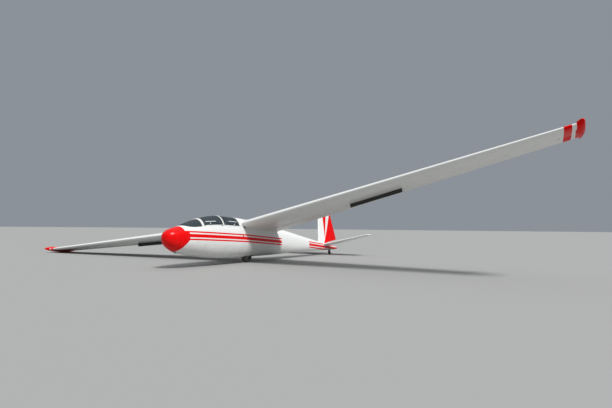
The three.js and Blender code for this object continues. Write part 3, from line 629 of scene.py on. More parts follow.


# The well's primer, also laid on the flap's end ribs as painted shade.
well_paint_and_shade = well_paint()
before_well = np.linspace(BULKHEAD + JOINT_GAP, WELL_FROM, 10)
over_well = np.linspace(WELL_FROM, WELL_TO, 17)
centre = np.concatenate([before_well, over_well[1:], np.linspace(WELL_TO, TAIL_JOINT, 30)[1:]])
well_edge = -np.arccos((WELL_HALF / body_lines(centre)[0]) ** (OVAL_POWER / 2))[:, None]
keel_skin = oval(centre[:, None], -np.pi / 2 + np.linspace(0, 1, 6) * (well_edge + np.pi / 2))
flank_skin = oval(centre[:, None], well_edge + np.linspace(0, 1, 45) * (np.pi / 2 - well_edge))
half_ring = np.concatenate([keel_skin, flank_skin[:, 1:]], axis=1)
well_first = len(before_well) - 1
well_last = well_first + len(over_well) - 1
rows = slice(well_first, well_last + 1)
rim = flank_skin[rows, 0]
roof = at_height(rim, WELL_TOP)
well_walls = [row_between(rim, roof, 6)]
for row in (well_first, well_last):
    well_walls.append(row_between(keel_skin[row], at_height(keel_skin[row], WELL_TOP), 6))
well_walls.append(filled(roof, (keel_skin[rows] / keel_skin[rows][:, -1:])[..., 1:2]))
centre_patches = [spanned(half_ring[0]), spanned(half_ring[-1])]
for turned_over in (lambda grid: grid, mirrored):
    skins = (flank_skin, keel_skin[: well_first + 1], keel_skin[well_last:])
    centre_patches += [turned_over(grid) for grid in skins]
    centre_patches += [(turned_over(grid), well_paint_and_shade) for grid in well_walls]
made_of("centre_skin", centre_patches, "airframe", fuselage_paint, "centre_section")

# Tail cone
# A riveted cone that ends in a small rounded cap under the rudder.
CAP = 0.022

cone = oval(np.linspace(TAIL_JOINT + JOINT_GAP, TAIL_END, 80)[:, None], ROUND)
dome = np.linspace(0, np.pi / 2, 8)[:, None, None]
middle = cone[-1].mean(axis=0)
cap = middle + (cone[-1] - middle) * np.cos(dome) + np.array([CAP, 0, 0]) * np.sin(dome)
tail_patches = [cone, cap, spanned(cone[0, :HALF_ROUND])]
made_of("tail_skin", tail_patches, "airframe", fuselage_paint, "tail_cone")

# Wing
# Each half is a riveted metal box with a slot in each skin for the airbrakes, a cove that the flap runs
# out of and a cove that the aileron turns in. Its loops follow the ribs, out along the span.
HALF_SPAN = 8.100
RIB = 0.345
WING_END = 7.930
ROOT_LEAD = 2.430
ROOT_HEIGHT = 0.548
ROOT_CHORD = 1.710
TIP_CHORD = 0.770
SWEEP = np.radians(4.97)
DIHEDRAL = np.radians(2.9)
INCIDENCE = np.radians(2.94)
EDGE_SHARE = 0.0012
CLEARANCE = 0.005
FLAP_NOSE = 0.70
FLAP_LIP = 0.90
SHROUD = (0.012, 0.005)
HINGE = 0.68
COVE_OPENING = 0.30
COVE_GAP = 0.003
FLAP_ROOM = (0.395, 4.435)
AILERON_ROOM = (4.525, 7.865)
SLOT_ROOM = (3.095, 4.505)
SLOTS = {1: 0.600, -1: 0.645}
SLOT_HALF = 0.023
WEB_HALF = 0.008
SLOT_DEPTHS = (0.0, 0.010, 0.010, 0.104)
BACK_COLUMNS = 14
AFT_COLUMNS = 8
SLOT_COLUMNS = 4
FORE_COLUMNS = 30
WING_PITCH = 0.345
LEAD_SLOPE = -0.058
SPARS = (0.10, 0.33, 0.50, 0.66)
CHORD_RUN = 1.2
SHEET_SHADE = (0.72, 0.74, 0.73, 1)
RED_BAND = (7.760, 7.888)
RED_END = 7.955
BAND_SLANT = 0.05
BAND_FRONT = 1.980


class Surface:
    """A wing, tailplane or fin: a leading edge, a chord and a thickness share at each distance along its
    span. A point on it is the leading edge, plus a share of the chord, plus a height above the chord."""

    def __init__(self, lead, chord, thickness, camber, hinge, back=(1, 0, 0), up=(0, 0, 1)):
        self.lead, self.chord, self.thickness, self.hinge = lead, chord, thickness, hinge
        self.camber, self.back, self.up = camber, np.array(back, float), np.array(up, float)

    def at(self, a, x, height):
        a, x, height = np.broadcast_arrays(a, x, height)
        along = (x * self.chord(a))[..., None] * self.back
        return self.lead(a) + along + height[..., None] * self.up

    def height(self, a, x, side):
        """A four-digit section: the camber line, plus or minus half the thickness at that share."""
        x = np.maximum(x, 0)
        curve = 0.2969 * np.sqrt(x) - 0.126 * x - 0.3516 * x**2 + 0.2843 * x**3 - 0.1036 * x**4
        half = self.thickness(a) * 5 * curve + EDGE_SHARE * x
        return self.chord(a) * (self.camber * 4 * x * (1 - x) + side * half)

    def skin(self, a, x, side):
        return self.at(a, x, self.height(a, x, side))

    def nose(self, a):
        """The radius of a control's round nose: half the section's thickness at the hinge line."""
        share = self.hinge(a)
        return (self.height(a, share, 1) - self.height(a, share, -1)) / 2

    def around(self, a, radius, angle):
        """An arc about the hinge line, its angle measured from straight aft and up over the top."""
        share = self.hinge(a)
        radius, angle = np.broadcast_arrays(radius, angle)
        along, rise = (radius * way(angle) for way in (np.cos, np.sin))
        centre = self.at(a, share, self.height(a, share, 0))
        return centre + along[..., None] * self.back + rise[..., None] * self.up

    def cove_edge(self, a):
        """The share at which the skins stop ahead of a control."""
        return self.hinge(a) - COVE_OPENING * self.nose(a) / self.chord(a)

    def cove(self, a, turn):
        """The round cove ahead of a control, from its upper edge at a turn of 0 to its lower edge at 1."""
        reach = self.nose(a) + COVE_GAP
        opening = np.arccos(-COVE_OPENING * self.nose(a) / reach)
        return self.around(a, reach, opening + turn * 2 * (np.pi - opening))


def wing_chord(a):
    return ROOT_CHORD + (TIP_CHORD - ROOT_CHORD) * a / HALF_SPAN


def wing_lead(a):
    """The quarter-chord line runs straight out and forward, and the chord plane rises outwards."""
    x = ROOT_LEAD + 0.25 * ROOT_CHORD - a * np.tan(SWEEP) - 0.25 * wing_chord(a)
    z = ROOT_HEIGHT + a * np.tan(DIHEDRAL) - x * np.tan(INCIDENCE)
    return np.stack(np.broadcast_arrays(x, a, z), axis=-1)


wing = Surface(
    wing_lead,
    wing_chord,
    lambda a: 0.15 - 0.03 * a / HALF_SPAN,
    0.028,
    lambda a: HINGE + 0 * a,
    back=(1, 0, -np.tan(INCIDENCE)),
)


def steps(first, last, count, ease=1.0):
    """A strip's shares from first up to, but not on, last: closer together at last for an ease over 1."""
    return last + (first - last) * (1 - np.arange(count) / count) ** ease


def shroud_under(a, x):
    """The underside of the skin that covers the flap: the skin less a thickness that tapers aft."""
    t = (x - FLAP_NOSE) / (FLAP_LIP - FLAP_NOSE)
    return wing.height(a, x, 1) - (SHROUD[0] + (SHROUD[1] - SHROUD[0]) * t)


def wing_loops(places, kind):
    """Closed section outlines: from the back up over the upper skin to the nose and back below. The back
    is the trailing edge, the flap's cove under its shroud, or the aileron's round cove. Each skin has
    columns on both edges of its airbrake slot."""
    a = np.asarray(places, float)[:, None]
    chord, late = wing_chord(a), np.clip((a - FLAP_ROOM[1]) / (AILERON_ROOM[0] - FLAP_ROOM[1]), 0, 1)
    foot = FLAP_NOSE - CLEARANCE / chord
    upper_end = FLAP_LIP + late * (wing.cove_edge(a) - FLAP_LIP)
    lower_end = foot + late * (wing.cove_edge(a) - foot)
    skins = {}
    for side, end in ((1, upper_end), (-1, lower_end)):
        middle = np.where(a > SLOT_ROOM[1] + 0.001, SLOTS[side] - 0.03, SLOTS[side])
        near, far = middle - SLOT_HALF / chord, middle + SLOT_HALF / chord
        shares = [steps(end, far, AFT_COLUMNS), steps(far, near, SLOT_COLUMNS)]
        shares += [steps(near, 0.0, FORE_COLUMNS, 2.0), 0 * a]
        skins[side] = wing.skin(a, np.concatenate(shares, axis=1), side)
    if kind == "plain":
        over = wing.skin(a, steps(1.0, upper_end, BACK_COLUMNS), 1)
        under = wing.skin(a, 1 + lower_end - steps(1.0, lower_end, BACK_COLUMNS), -1)
    elif kind == "flap":
        below = np.concatenate([steps(foot, FLAP_LIP, BACK_COLUMNS - 1), FLAP_LIP + 0 * a], axis=1)
        over = wing.at(a, below, shroud_under(a, below))
        low, rise = wing.height(a, foot, -1), np.arange(1, BACK_COLUMNS + 1) / (BACK_COLUMNS + 1)
        under = wing.at(a, foot, low + rise * (shroud_under(a, foot) - low))
    else:
        over = wing.cove(a, np.append(steps(0.5, 0.0, BACK_COLUMNS - 1), 0.0) + 0 * a)
        under = wing.cove(a, 1 - steps(0.0, 0.5, BACK_COLUMNS))
    lower = skins[-1][:, -2::-1]
    return np.concatenate([over, skins[1], lower, under, over[:, :1]], axis=1)


def lid(loop):
    """A flat end on a closed outline: rows straight across between its two halves."""
    half = len(loop) // 2 + 1
    return row_between(loop[:half], loop[::-1][:half], 5)


def capped(loops):
    """Closed outlines along a piece, with a flat end on the first and the last."""
    return [lid(loops[0]), loops, lid(loops[-1])]


def both_sides(label, patches, paint, node=None, moving=False):
    """A starboard piece and its mirror image to port. Each stands for its own side's node, and a moving
    one rides on the body of that name."""
    for side, turned_over in (("starboard", lambda grid: grid), ("port", mirrored)):
        coated = [patch if isinstance(patch, tuple) else (patch, paint) for patch in patches]
        halves = [(turned_over(grid), *coat) for grid, *coat in coated]
        own = f"{node}_{side}" if node else None
        made_of(f"{label}_{side}", halves, own if moving else "airframe", paint, own)


def between(first, last, pitch):
    """Places from first to last, no more than a pitch apart."""
    return np.linspace(first, last, int(np.ceil((last - first) / pitch)) + 1)


def outline(grid):
    """The closed ring of points round the edge of a grid."""
    return np.concatenate([grid[:, 0], grid[-1, 1:], grid[-2::-1, -1], grid[0, -2::-1]])


def slot_box(top, side):
    """The walls and floor of an airbrake slot, hung from the piece of skin that it opens: a shallow tray
    for the cap strip, narrowing to a deep slit for the plate."""
    middle = (top[:, :1] + top[:, -1:]) / 2
    narrow = middle + (top - middle) * WEB_HALF / SLOT_HALF
    levels = [
        grid - np.array([0, 0, side * depth])
        for depth, grid in zip(SLOT_DEPTHS, (top, top, narrow, narrow))
    ]
    return [np.stack([outline(grid) for grid in levels]), levels[-1]]


def red_band(nodes, out, station):
    """The red share of the band round the outer wing and of the wing's end. Their edges slant inwards on
    their way aft."""
    out = out + (station - BAND_FRONT) * BAND_SLANT
    return nodes.sum("MAXIMUM", nodes.within(out, *RED_BAND), nodes.step(out, RED_END))


def metal_paint(name, pitch, lead, chord, flash=None):
    """White gloss on riveted sheet. Ribs cross the surface at a pitch and spars run along it, each with
    its rows of rivets. The leading edge and the chord are each a value and a slope along the span. A
    red band goes round the outer end of the wing, and a flash is a red share for the fin."""
    nodes = Nodes(name, WHITE, 0.25)
    station, side, height, _ = nodes.place()
    out = height if flash else abs(side)
    front, wide = (value + out * slope for value, slope in (lead, chord))
    domes, groove = seamed(nodes, out, (station - front) / wide * CHORD_RUN, pitch, RIVET_SPACING, SPARS)
    band = flash(nodes) if flash else red_band(nodes, out, station)
    colour = nodes.blend(nodes.noise(0.7, 1.0) * 0.25, WHITE, SHEET_SHADE)
    return finish_paint(nodes, nodes.blend(band, colour, RED), domes, groove, height, band, 0.03)


wing_taper = (TIP_CHORD - ROOT_CHORD) / HALF_SPAN
wing_paint = metal_paint("wing_paint", WING_PITCH, (ROOT_LEAD, LEAD_SLOPE), (ROOT_CHORD, wing_taper))
inboard, beside_slot = between(FLAP_ROOM[0], SLOT_ROOM[0], 0.09), between(SLOT_ROOM[0], FLAP_ROOM[1], 0.06)
zones = [
    ("plain", between(RIB + JOINT_GAP, FLAP_ROOM[0], 0.06)),
    ("flap", np.concatenate([inboard, beside_slot[1:]])),
    ("plain", np.array([FLAP_ROOM[1], 4.47, SLOT_ROOM[1], AILERON_ROOM[0]])),
    ("cove", between(*AILERON_ROOM, 0.09)),
    ("plain", between(AILERON_ROOM[1], WING_END, 0.06)),
]
wing_rows = np.concatenate([places for _, places in zones])
wing_skin = np.concatenate([wing_loops(places, kind) for kind, places in zones])
first, last = (int(np.searchsorted(wing_rows, place - 1e-6)) for place in SLOT_ROOM)
over_slots = wing_skin[first : last + 1]
upper_slot = slice(BACK_COLUMNS + AFT_COLUMNS, BACK_COLUMNS + AFT_COLUMNS + SLOT_COLUMNS)
lower_end = wing_skin.shape[1] - 2 - upper_slot.start
lower_slot = slice(lower_end - SLOT_COLUMNS, lower_end)
wing_patches = [lid(wing_skin[0]), lid(wing_skin[-1]), wing_skin[: first + 1], wing_skin[last:]]
wing_patches += [over_slots[:, : upper_slot.start + 1], over_slots[:, upper_slot.stop : lower_slot.start + 1]]
wing_patches.append(over_slots[:, lower_slot.stop :])
for cut, side in ((upper_slot, 1), (lower_slot, -1)):
    wing_patches += slot_box(over_slots[:, cut.start : cut.stop + 1], side)
both_sides("wing_skin", wing_patches, wing_paint, "wing")

# Wing roots
# Short stubs of the same section carry the wings, and a fairing of beaten sheet runs from them into the
# body, wider all round towards the body.
STUB_FROM = 0.150
FLARE = 0.034


def offset_out(loops, reach):
    """Closed outlines in planes across y, moved outwards along their own normals by a reach each."""
    ahead = np.roll(loops[:, :-1], -1, axis=1) - np.roll(loops[:, :-1], 1, axis=1)
    ahead = np.concatenate([ahead, ahead[:, :1]], axis=1)
    normal = np.stack([-ahead[..., 2], 0 * ahead[..., 0], ahead[..., 0]], axis=-1)
    normal /= np.linalg.norm(normal, axis=-1, keepdims=True) + 1e-9
    area = (loops[:, :-1, 0] * ahead[:, :-1, 2]).sum(axis=1)
    return loops + normal * (reach * -np.sign(area))[:, None, None]


stub_rows = between(STUB_FROM, RIB - JOINT_GAP, 0.012)
share_in = (RIB - JOINT_GAP - stub_rows) / (RIB - STUB_FROM)
stub = offset_out(wing_loops(stub_rows, "plain"), FLARE * share_in**2.2)
both_sides("wing_root", capped(stub), wing_paint)

# Wing tips
# Spindle bodies of beaten sheet, painted red, are riveted to the ends of the wings over a short fairing
# of the wing's own section.
TIP_LENGTH = 1.060
TIP_LEAD = 0.110
TIP_RADIUS = 0.086
TIP_AT = 8.000
TIP_LIFT = 0.022
TIP_BLUNTNESS = 0.8
TIP_TOE = (0.055, 0.45)
FAIRING_END = 8.020
SUNNED_RED = (0.46, 0.004, 0.004, 1)


def red_paint():
    """Red gloss, chalked by the sun."""
    nodes = Nodes("tip_paint", RED, 0.28)
    chalk = nodes.noise(6.0, 5.0)
    nodes.surface(Base_Color=nodes.blend(chalk * 0.35, RED, SUNNED_RED), Roughness=0.24 + chalk * 0.2)
    nodes.surface(Specular_IOR_Level=0.04, Coat_Weight=0.02)
    nodes.bump(nodes.noise(3.0, 2.0), 0.0012, 0.6)
    return nodes.material


def tip_body(t, angle):
    """A spindle: its radius is a sine of the length's power, to the power of three quarters. Its nose
    stands further out as the square of the way ahead, and what would reach past the wing's last rib is
    pressed flat on it."""
    radius = TIP_RADIUS * np.maximum(np.sin(np.pi * t**TIP_BLUNTNESS), 0) ** 0.75
    line = wing_lead(np.array(TIP_AT)) - TIP_LEAD * wing.back + np.array([0, 0, TIP_LIFT])
    toe = TIP_TOE[0] * np.maximum(1 - t / TIP_TOE[1], 0) ** 2
    across = (radius * np.cos(angle) + toe)[..., None] * np.array([0, 1, 0])
    tall = (radius * np.sin(angle))[..., None] * np.array([np.sin(INCIDENCE), 0, np.cos(INCIDENCE)])
    along = (t * TIP_LENGTH)[..., None] * np.array([np.cos(INCIDENCE), 0, -np.sin(INCIDENCE)])
    found = line + along + across + tall
    found[..., 1] = np.maximum(found[..., 1], WING_END + JOINT_GAP)
    return found


tip_paint = red_paint()
t = (1 - np.cos(np.linspace(0, np.pi, 49))) / 2
tip = tip_body(*np.meshgrid(t, np.linspace(0, 2 * np.pi, 49), indexing="ij"))
fairing = wing_loops(between(WING_END + JOINT_GAP, FAIRING_END, 0.03), "plain")
tip_patches = [tip, *((grid, wing_paint) for grid in capped(fairing))]
both_sides("tip_body", tip_patches, tip_paint, "wing_tip")

# Flaps
# Riveted sheet with a blunt nose, which lies under the wing's shroud until the flap runs out and down. The
# end ribs carry the wheel well's dark primer as painted shade.
FLAP_FROM = 0.400
FLAP_TO = 4.400
FLAP_NOSE_RUN = 0.03
FLAP_UNDER = 0.007


def flap_loops(places):
    """Outlines from the trailing edge forward over the lip, under the shroud, round a half-oval nose and
    back below."""
    a = np.asarray(places, float)[:, None]
    start, opened = FLAP_NOSE + FLAP_NOSE_RUN, FLAP_LIP + CLEARANCE / wing_chord(a)
    top = shroud_under(a, start) - FLAP_UNDER
    bottom = wing.height(a, start, -1)
    turn = np.linspace(0, np.pi, 17)
    low = start + (1 - start) * np.linspace(0, 1, 15)[1:]
    covered = steps(FLAP_LIP, start, 8)
    round_nose = bottom + (top - bottom) * (1 + np.cos(turn)) / 2
    return np.concatenate(
        [
            wing.skin(a, steps(1.0, opened, 8), 1),
            wing.skin(a, opened, 1),
            wing.at(a, opened + 0 * a, shroud_under(a, covered[:1]) - FLAP_UNDER),
            wing.at(a, covered, shroud_under(a, covered) - FLAP_UNDER),
            wing.at(a, start - FLAP_NOSE_RUN * np.sin(turn), round_nose),
            wing.skin(a, low, -1),
            wing.skin(a, 1 + 0 * a, 1),
        ],
        axis=1,
    )


flap = flap_loops(between(FLAP_FROM, FLAP_TO, 0.08))
# Painted shade: the flap's end ribs take the well's dark primer.
flap_ends = [(lid(flap[end]), well_paint_and_shade) for end in (0, -1)]
both_sides("flap_skin", [flap, *flap_ends], wing_paint, "flap", moving=True)

# Ailerons
# Metal ribs under doped fabric, which sags a little between them, with pinked tape over every rib. The
# round nose turns in the wing's cove.
AILERON_FROM = 4.530
AILERON_TO = 7.860
NOSE_FIT = 0.985
RIB_PITCH = 0.222
TAPE_HALF = 0.012
THREAD = 0.0016
SAG = 0.0022


def control_loops(surface, places, pitch, back=None):
    """Outlines of a control: over its skin from the back to the hinge line, round its nose and back
    below. Between its ribs the fabric sags as a sine squared, most at the middle of the chord. Where a
    back share is given, the control is cut off there."""
    a = np.asarray(places, float)[:, None]
    end = 1.0 + 0 * a if back is None else np.asarray(back)[:, None]
    share, run = surface.hinge(a), np.linspace(0, 1, 19)[1:]
    late = share + (end - share) * run
    depth = SAG * np.sin(np.pi * a / pitch) ** 2 * np.sin(np.pi * run) ** 0.7
    skins = [surface.at(a, late, surface.height(a, late, side) - side * depth) for side in (1, -1)]
    turn = np.linspace(np.pi / 2, 1.5 * np.pi, 21)
    nose = surface.around(a, surface.nose(a) * NOSE_FIT, turn)
    return np.concatenate([skins[0][:, ::-1], nose, skins[1], skins[0][:, -1:]], axis=1)


def fabric_paint(name, colour, red=None):
    """Doped fabric: a fine weave under gloss, and tapes over the ribs that stand a little proud. The
    wing's red band goes on over the ailerons, and red is another share for the upright rudder."""
    nodes = Nodes(name, colour, 0.35)
    station, side, height, _ = nodes.place()
    out = height if red else abs(side)
    tape = nodes.below(nodes.near(out, RIB_PITCH), TAPE_HALF, 0.001)
    weave = nodes.near(out, THREAD) + nodes.near(station, THREAD)
    dulling = nodes.noise(3.0, 5.0)
    shade = nodes.blend(dulling * 0.35, colour, shaded(colour, 0.82))
    shade = nodes.blend(red(nodes) if red else red_band(nodes, out, station), shade, RED)
    nodes.surface(Base_Color=shade, Roughness=0.26 + dulling * 0.25, Specular_IOR_Level=0.04)
    nodes.bump(tape * 0.5 + weave * 90.0, 0.0007, 0.6)
    return nodes.material


white_fabric = fabric_paint("white_fabric", WHITE)
aileron = control_loops(wing, between(AILERON_FROM, AILERON_TO, RIB_PITCH / 8), RIB_PITCH)
both_sides("aileron_skin", capped(aileron), white_fabric, "aileron", moving=True)

# Tailplane
# Two metal halves bolted to shoulders on the tail cone, with a cove behind for the elevator.
TAIL_ROOT_LEAD = 7.060
TAIL_SWEEP_BACK = 0.06
TAIL_ROOT_CHORD = 0.940
TAIL_TIP_CHORD = 0.520
TAIL_SPAN = 1.725
TAIL_HEIGHT = 0.100
TAIL_DIHEDRAL = np.radians(3.6)
TAIL_INCIDENCE = np.radians(-2.5)
TAIL_HINGE = 0.52
TAIL_RIB = 0.118
TAIL_SPAR = 0.060
ELEVATOR_FROM = 0.160
ELEVATOR_TO = 1.690
TIP_ROUND = 0.030
TAIL_PITCH = 0.26


def rounded_off(places, end, reach):
    """How thick a section still is near an end that is rounded as a quarter circle of that reach."""
    past = np.clip((np.asarray(places) - (end - reach)) / reach, 0, 1)
    return np.sqrt(np.maximum(1 - past**2, 0.0036))


def tail_lead(a):
    x = TAIL_ROOT_LEAD + a * TAIL_SWEEP_BACK
    return np.stack(np.broadcast_arrays(x, a, TAIL_HEIGHT + a * np.tan(TAIL_DIHEDRAL)), axis=-1)


tailplane = Surface(
    tail_lead,
    lambda a: TAIL_ROOT_CHORD + (TAIL_TIP_CHORD - TAIL_ROOT_CHORD) * a / TAIL_SPAN,
    lambda a: 0.09 * rounded_off(a, TAIL_SPAN, TIP_ROUND),
    0.0,
    lambda a: TAIL_HINGE + 0 * a,
    back=(1, 0, -np.tan(TAIL_INCIDENCE)),
)


def blade_loops(surface, places, kind, cut=None):
    """Outlines of a fixed tail surface: over the skin and back below, ended by the whole trailing edge,
    by a round cove, or square at a cut share."""
    a = np.asarray(places, float)[:, None]
    end = surface.cove_edge(a) if cut is None else np.asarray(cut, float)[:, None]
    shares = np.concatenate([steps(end, 0.0, 34, 2.0), 0 * a], axis=1)
    upper, lower = surface.skin(a, shares, 1), surface.skin(a, shares, -1)[:, -2::-1]
    if kind == "plain":
        over = surface.skin(a, steps(1.0, end, 12), 1)
        under = surface.skin(a, 1 + end - steps(1.0, end, 12), -1)[:, 1:]
    elif kind == "cove":
        over = np.concatenate([surface.cove(a, steps(0.5, 0.0, 11)), surface.cove(a, 0 * a)], axis=1)
        under = surface.cove(a, 1 - steps(0.0, 0.5, 12))[:, :-1]
    else:
        over = (upper[:, :1] + lower[:, -1:]) / 2 + np.zeros((1, 12, 1))
        under = lower[:, -1:] + np.zeros((1, 11, 1))
    return np.concatenate([over, upper, lower, under, over[:, :1]], axis=1)


cut_at = (TAIL_ROOT_LEAD + TAIL_HINGE * TAIL_ROOT_CHORD - TAIL_SPAR - tail_lead(0.0)[0]) / TAIL_ROOT_CHORD
shoulder_rows = between(0.02, TAIL_RIB - JOINT_GAP, 0.01)
shoulder_cut = (cut_at * TAIL_ROOT_CHORD - shoulder_rows * TAIL_SWEEP_BACK) / tailplane.chord(shoulder_rows)
shoulder = blade_loops(tailplane, shoulder_rows, "square", shoulder_cut)
cove_end = ELEVATOR_TO + CLEARANCE
tail_end_rows = cove_end + TIP_ROUND * (1 - np.cos(np.linspace(0, np.pi / 2, 8)))
tail_coved = blade_loops(tailplane, between(TAIL_RIB, cove_end, 0.07), "cove")
tail_panel = np.concatenate([tail_coved, blade_loops(tailplane, tail_end_rows, "plain")])
tail_taper = (TAIL_TIP_CHORD - TAIL_ROOT_CHORD) / TAIL_SPAN
tail_leads = (TAIL_ROOT_LEAD, TAIL_SWEEP_BACK)
tail_paint = metal_paint("tail_paint", TAIL_PITCH, tail_leads, (TAIL_ROOT_CHORD, tail_taper))
for side, turned_over in (("starboard", lambda grid: grid), ("port", mirrored)):
    halves = [[turned_over(grid) for grid in capped(loops)] for loops in (shoulder, tail_panel)]
    made_of(f"tail_shoulder_{side}", halves[0], "airframe", tail_paint)
    made_of(f"tail_panel_{side}", halves[1], "airframe", tail_paint, f"tailplane_{side}")

# Elevators
# Fabric over metal ribs like the ailerons, each cut back at its inner end to let the rudder swing.
ELEVATOR_HEEL = 0.400
ELEVATOR_HEEL_RUN = 0.470
HEEL_LEAST = 0.012

heel_rows = between(ELEVATOR_FROM, ELEVATOR_HEEL, 0.02)
elevator_rows = np.concatenate([heel_rows, between(ELEVATOR_HEEL, ELEVATOR_TO, RIB_PITCH / 8)[1:]])
cut_run = ELEVATOR_HEEL_RUN * (elevator_rows - ELEVATOR_FROM) / (ELEVATOR_HEEL - ELEVATOR_FROM)
hinge_station = TAIL_ROOT_LEAD + TAIL_HINGE * TAIL_ROOT_CHORD
cut_share = (hinge_station + cut_run - tail_lead(elevator_rows)[:, 0]) / tailplane.chord(elevator_rows)
elevator_share = np.clip(cut_share, TAIL_HINGE + HEEL_LEAST, 1.0)
elevator = control_loops(tailplane, elevator_rows, RIB_PITCH, elevator_share)
both_sides("elevator_skin", capped(elevator), white_fabric, "elevator", moving=True)

# Fin
# A swept metal blade on the tail cone, rounded at the top, with the rudder's post along its back.
FIN_LEAD = 6.815
FIN_SWEEP_BACK = 0.178
FIN_FROM = 0.060
FIN_TO = 1.785
FIN_HINGE = 7.425
FIN_THICKNESS = 0.10
FIN_POST = 0.060
FIN_ROUND = 0.055
FIN_CORNER = (0.110, 0.160)
RUDDER_FOOT = 0.205
RUDDER_HEEL = 0.340
RUDDER_SLOPE = -0.3
RUDDER_END = 8.230
FLASH_FROM = (7.250, 0.300)
FLASH_SLOPES = (0.032, 0.32, 0.63)


def fin_front(h):
    """The leading edge's station: swept straight, then turned back at the top by a quarter of an oval."""
    return FIN_LEAD + h * FIN_SWEEP_BACK + FIN_CORNER[0] * (1 - rounded_off(h, FIN_TO, FIN_CORNER[1]))


def fin_lead(h):
    return np.stack(np.broadcast_arrays(fin_front(h), 0.0, h), axis=-1)


def fin_chord(h):
    """From the leading edge to the rudder's trailing edge, which slopes forward towards the top."""
    return RUDDER_END + (h - RUDDER_HEEL) * RUDDER_SLOPE - fin_front(h)


fin_surface = Surface(
    fin_lead,
    fin_chord,
    lambda h: FIN_THICKNESS * rounded_off(h, FIN_TO, FIN_ROUND),
    0.0,
    lambda h: (FIN_HINGE - fin_front(h)) / fin_chord(h),
    up=(0, 1, 0),
)


def flash(nodes):
    """The red on the fin and rudder. Three lines fan out upwards from one point, each with its own slope:
    red lies between the first two, and behind the third."""
    station, _, height, _ = nodes.place()
    rise = height - FLASH_FROM[1]
    first, second, third = (nodes.step(station, FLASH_FROM[0] + rise * slope) for slope in FLASH_SLOPES)
    return nodes.sum("MAXIMUM", first * (1.0 - second), third)


foot_rows = between(FIN_FROM, RUDDER_FOOT, 0.03)
foot_cut = (FIN_HINGE - FIN_POST - fin_front(foot_rows)) / fin_chord(foot_rows)
top_rows = FIN_TO - FIN_ROUND * (1 - np.sin(np.linspace(0, np.pi / 2, 12)))
corner_rows = between(FIN_TO - FIN_CORNER[1], FIN_TO - FIN_ROUND, 0.012)[:-1]
fin_rows = np.concatenate([between(RUDDER_FOOT, FIN_TO - FIN_CORNER[1], 0.06)[:-1], corner_rows, top_rows])
fin_foot = blade_loops(fin_surface, foot_rows, "square", foot_cut)
fin_grid = np.concatenate([fin_foot, blade_loops(fin_surface, fin_rows, "cove")])
fin_leads, fin_chords = (FIN_LEAD, FIN_SWEEP_BACK), (fin_chord(0.0), RUDDER_SLOPE - FIN_SWEEP_BACK)
fin_paint = metal_paint("fin_paint", TAIL_PITCH, fin_leads, fin_chords, flash)
made_of("fin_skin", capped(fin_grid), "airframe", fin_paint, "fin")

# Rudder
# Fabric on metal ribs. The white wedge and the red of the fin's flash go on over it.
straight_rows = between(RUDDER_HEEL, FIN_TO - FIN_ROUND, RIB_PITCH / 8)[1:-1]
rudder_rows = np.concatenate([between(RUDDER_FOOT, RUDDER_HEEL, 0.02), straight_rows, top_rows])
heel_run = (rudder_rows - RUDDER_FOOT) / (RUDDER_HEEL - RUDDER_FOOT) * (RUDDER_END - FIN_HINGE)
heel_share = fin_surface.hinge(rudder_rows) + heel_run / fin_chord(rudder_rows)
rudder_share = np.clip(heel_share, fin_surface.hinge(rudder_rows) + HEEL_LEAST, 1.0)
rudder = control_loops(fin_surface, rudder_rows, RIB_PITCH, rudder_share)
rudder_fabric = fabric_paint("rudder_fabric", WHITE, flash)
made_of("rudder_skin", capped(rudder), "rudder", rudder_fabric, "rudder")

# Canopy
# Blown acrylic panes, lightly tinted, are held in frames of welded steel strip, painted white. The
# windscreen is fixed, and the long hood over both seats lifts to starboard on two knuckles at the sill.
WINDSCREEN_END = 1.010
HOOD_FROM = 1.015
HOOD_MIDDLE = 1.715
MIDDLE_HALF = 0.019
HOOD_END = 2.360
BOW_HALF = 0.030
RAILS = {"windscreen": 0.006, "canopy": 0.018}
RAIL_GAP = 0.0006
FRAME_DEPTH = 0.018
PANE_INSET = 0.006
PANE_THICK = 0.004
PANE_TUCK = 0.004
RAIL_COLUMNS = 3
GLASS_TINT = (0.035, 0.055, 0.065, 1)


def arched(rows, inset, rail, gap=RAIL_GAP):
    """The body's own curve over the sill: columns up the starboard rail, over the glass and down the
    port rail. Nothing lies below the sill."""
    low, high = (angle_at(rows, sill_height(rows) + over, inset) for over in (gap, rail))
    share = np.linspace(0, 1, RAIL_COLUMNS + 1)[:-1]
    up = low[:, None] + (high - low)[:, None] * share
    over = high[:, None] + (np.pi - 2 * high)[:, None] * np.linspace(0, 1, 57)
    grid = oval(rows[:, None], np.concatenate([up, over, np.pi - up[:, ::-1]], axis=1), inset)
    floor = (sill_height(rows) + gap)[:, None]
    return np.where([False, False, True], np.maximum(grid[..., 2], floor)[..., None], grid)


def framed(rows, windows, rail):
    """A frame as an outer and an inner skin joined round its edge and round each window."""
    outer, inner = arched(rows, 0.0, rail), arched(rows, FRAME_DEPTH, rail)
    bands = [0, *[row for window in windows for row in window], len(rows) - 1]
    patches = [np.stack([outline(outer), outline(inner)])]
    for grid in (outer, inner):
        patches += [grid[start : stop + 1] for start, stop in zip(bands[::2], bands[1::2])]
        for start, stop in windows:
            beside = grid[start : stop + 1]
            patches += [beside[:, : RAIL_COLUMNS + 1], beside[:, -RAIL_COLUMNS - 1 :]]
    for start, stop in windows:
        cut = slice(start, stop + 1), slice(RAIL_COLUMNS, -RAIL_COLUMNS)
        patches.append(np.stack([outline(outer[cut]), outline(inner[cut])]))
    return patches


def walled(first, second):
    """The two matching faces of a plate, joined round their edges."""
    return [first, second, np.stack([outline(first), outline(second)])]


